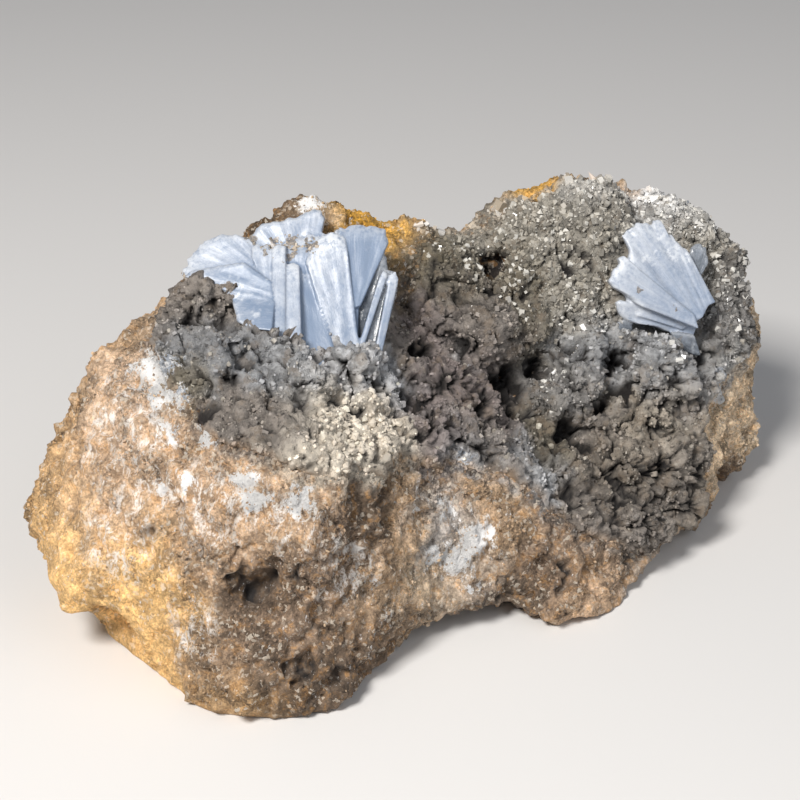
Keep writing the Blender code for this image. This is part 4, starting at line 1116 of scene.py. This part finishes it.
def barite_finish(name, tones, transmission, roughness):
    """Cloudy pale blue crystal with fine lines along its blades, white tips, painted highlights and grit on
    it.
    """
    made, tree, shader, place = new_material(name)
    along = attribute(tree, "cleave", "Vector")
    middling = calculate(tree, "SUBTRACT", attribute(tree, "tone"), 0.95)
    tone = scaled(tree, grain(tree, place, 2.4, 5, 0.65, 0.3), 1.9, middling)
    flecks = calculate(tree, "SUBTRACT", grain(tree, place, 0.5, 3, 0.7), 0.5)
    streaks = calculate(tree, "SUBTRACT", grain(tree, along, 0.55, 4, 0.65, 0.2), 0.5)
    tone = scaled(tree, streaks, 1.0, scaled(tree, flecks, 1.2, tone))
    base = blend(tree, tone, *tones)
    wisps = rise(tree, grain(tree, along, 0.9, 5, 0.7, 0.5), 0.54, 0.72)
    # Frost on the tips and painted glints, broken up by noise.
    frost_and_glints = scaled(tree, attribute(tree, "frost_and_glints"), rise(tree, grain(tree, place, 0.8, 4, 0.7), 0.3, 0.6))
    base = blend(tree, scaled(tree, wisps, 0.35, scaled(tree, frost_and_glints, 0.9)), base, FROST_AND_GLINT)
    dirt = scaled(tree, grain(tree, place, 0.8, 5, 0.75), 1.6, attribute(tree, "grit"))
    grimy = blend(tree, rise(tree, grain(tree, place, 0.45, 4, 0.7), 0.4, 0.6), DARK_GRIT, PALE_GRIT)
    base = blend(tree, scaled(tree, rise(tree, dirt, 1.25, 1.5), 0.8), base, grimy)
    fine = scaled(tree, grain(tree, along, 0.25, 3, 0.6), 0.7, grain(tree, place, 0.7, 4, 0.65))
    roughen(tree, shader, fine, 0.4, 0.14)
    fill(tree, shader, {"Base Color": base, "Roughness": roughness, "IOR": 1.64,
                        "Transmission Weight": transmission})
    return made


# The stage

# The lights: turn and lift in degrees, distance and size in metres, power and colour.
LIGHTS = {"key": (-62, 48, 0.7, 0.18, 6.2, (1.0, 0.97, 0.93)),
          "fill": (20, 35, 0.8, 0.7, 1.8, (0.93, 0.96, 1.0))}
SKY = (0.9, 0.93, 1.0, 1)
SKY_STRENGTH = 0.17
FLOOR_SIZE = 3.0
FLOOR_SHADE = (0.72, 0.71, 0.70, 1.0)
FLOOR_ROUGHNESS = 0.7


def make_floor():
    """A wide pale floor."""
    bm = bmesh.new()
    bmesh.ops.create_grid(bm, x_segments=1, y_segments=1, size=FLOOR_SIZE)
    floor = new_object("floor", new_mesh("floor", bm))
    finish, tree, shader, _ = new_material("floor")
    fill(tree, shader, {"Base Color": FLOOR_SHADE, "Roughness": FLOOR_ROUGHNESS})
    floor.data.materials.append(finish)


def make_light(name, turn, lift, distance, size, power, shade):
    """A soft square light that looks at the specimen."""
    lamp = bpy.data.lights.new(name, "AREA")
    lamp.size = size
    lamp.energy = power
    lamp.color = shade
    light = new_object(name, lamp)
    back = direction(math.radians(turn), math.radians(lift))
    light.location = VIEW_TARGET + back * distance
    light.rotation_euler = back.to_track_quat("Z", "Y").to_euler()


def make_camera():
    aside, upwards, towards = facing_axes()
    camera = bpy.data.cameras.new("camera")
    camera.lens = LENS
    camera.sensor_width = SENSOR
    camera.clip_start = 0.01
    made = new_object("camera", camera)
    turn = Matrix((aside, upwards, towards)).transposed()
    made.matrix_world = Matrix.Translation(VIEW_TARGET + towards * VIEW_DISTANCE) @ turn.to_4x4()
    bpy.context.scene.camera = made


def make_stage():
    scene = bpy.context.scene
    make_floor()
    for name, settings in LIGHTS.items():
        make_light(name, *settings)
    world = bpy.data.worlds.new("studio")
    world.use_nodes = True
    tree = world.node_tree
    fill(tree, tree.nodes["Background"], {"Color": SKY, "Strength": SKY_STRENGTH})
    scene.world = world
    make_camera()
    scene.view_settings.view_transform = "Standard"
    scene.cycles.use_denoising = True


def main():
    noise.seed_set(NOISE_SEED)
    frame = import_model()
    nodes = frame["nodes"]
    bare = bare_stone(nodes["matrix"], nodes["crust"])
    limonite = make_limonite(nodes["matrix"], nodes["crust"], bare)
    crust = make_crust(nodes["crust"], nodes["matrix"], bare)
    milky = barite_finish("barite", ((0.235, 0.31, 0.44), (0.50, 0.55, 0.64)), 0.2, 0.38)
    glassy = barite_finish("barite_glass", ((0.15, 0.175, 0.21), (0.42, 0.47, 0.55)), 0.5, 0.2)
    finishes = (milky, glassy)
    left = make_spray("left_spray", LEFT_BLADES, LEFT_MIDDLE, 21, LEFT_GRIT, LEFT_GLINTS, finishes)
    right = make_spray("right_spray", RIGHT_BLADES, RIGHT_MIDDLE, 52, RIGHT_GRIT, RIGHT_GLINTS, finishes)
    gritty, grown = make_grains(limonite, crust, left)
    for piece, slot in ((limonite, "limonite"), (gritty, "limonite"), (crust, "crust"), (left, "barite"),
                        (right, "barite"), *[(each, "crust") for each in grown]):
        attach(piece, BODY)
    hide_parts("matrix")
    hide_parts("crust")
    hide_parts("barite_spray_left")
    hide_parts("barite_spray_right")
    make_stage()


main()
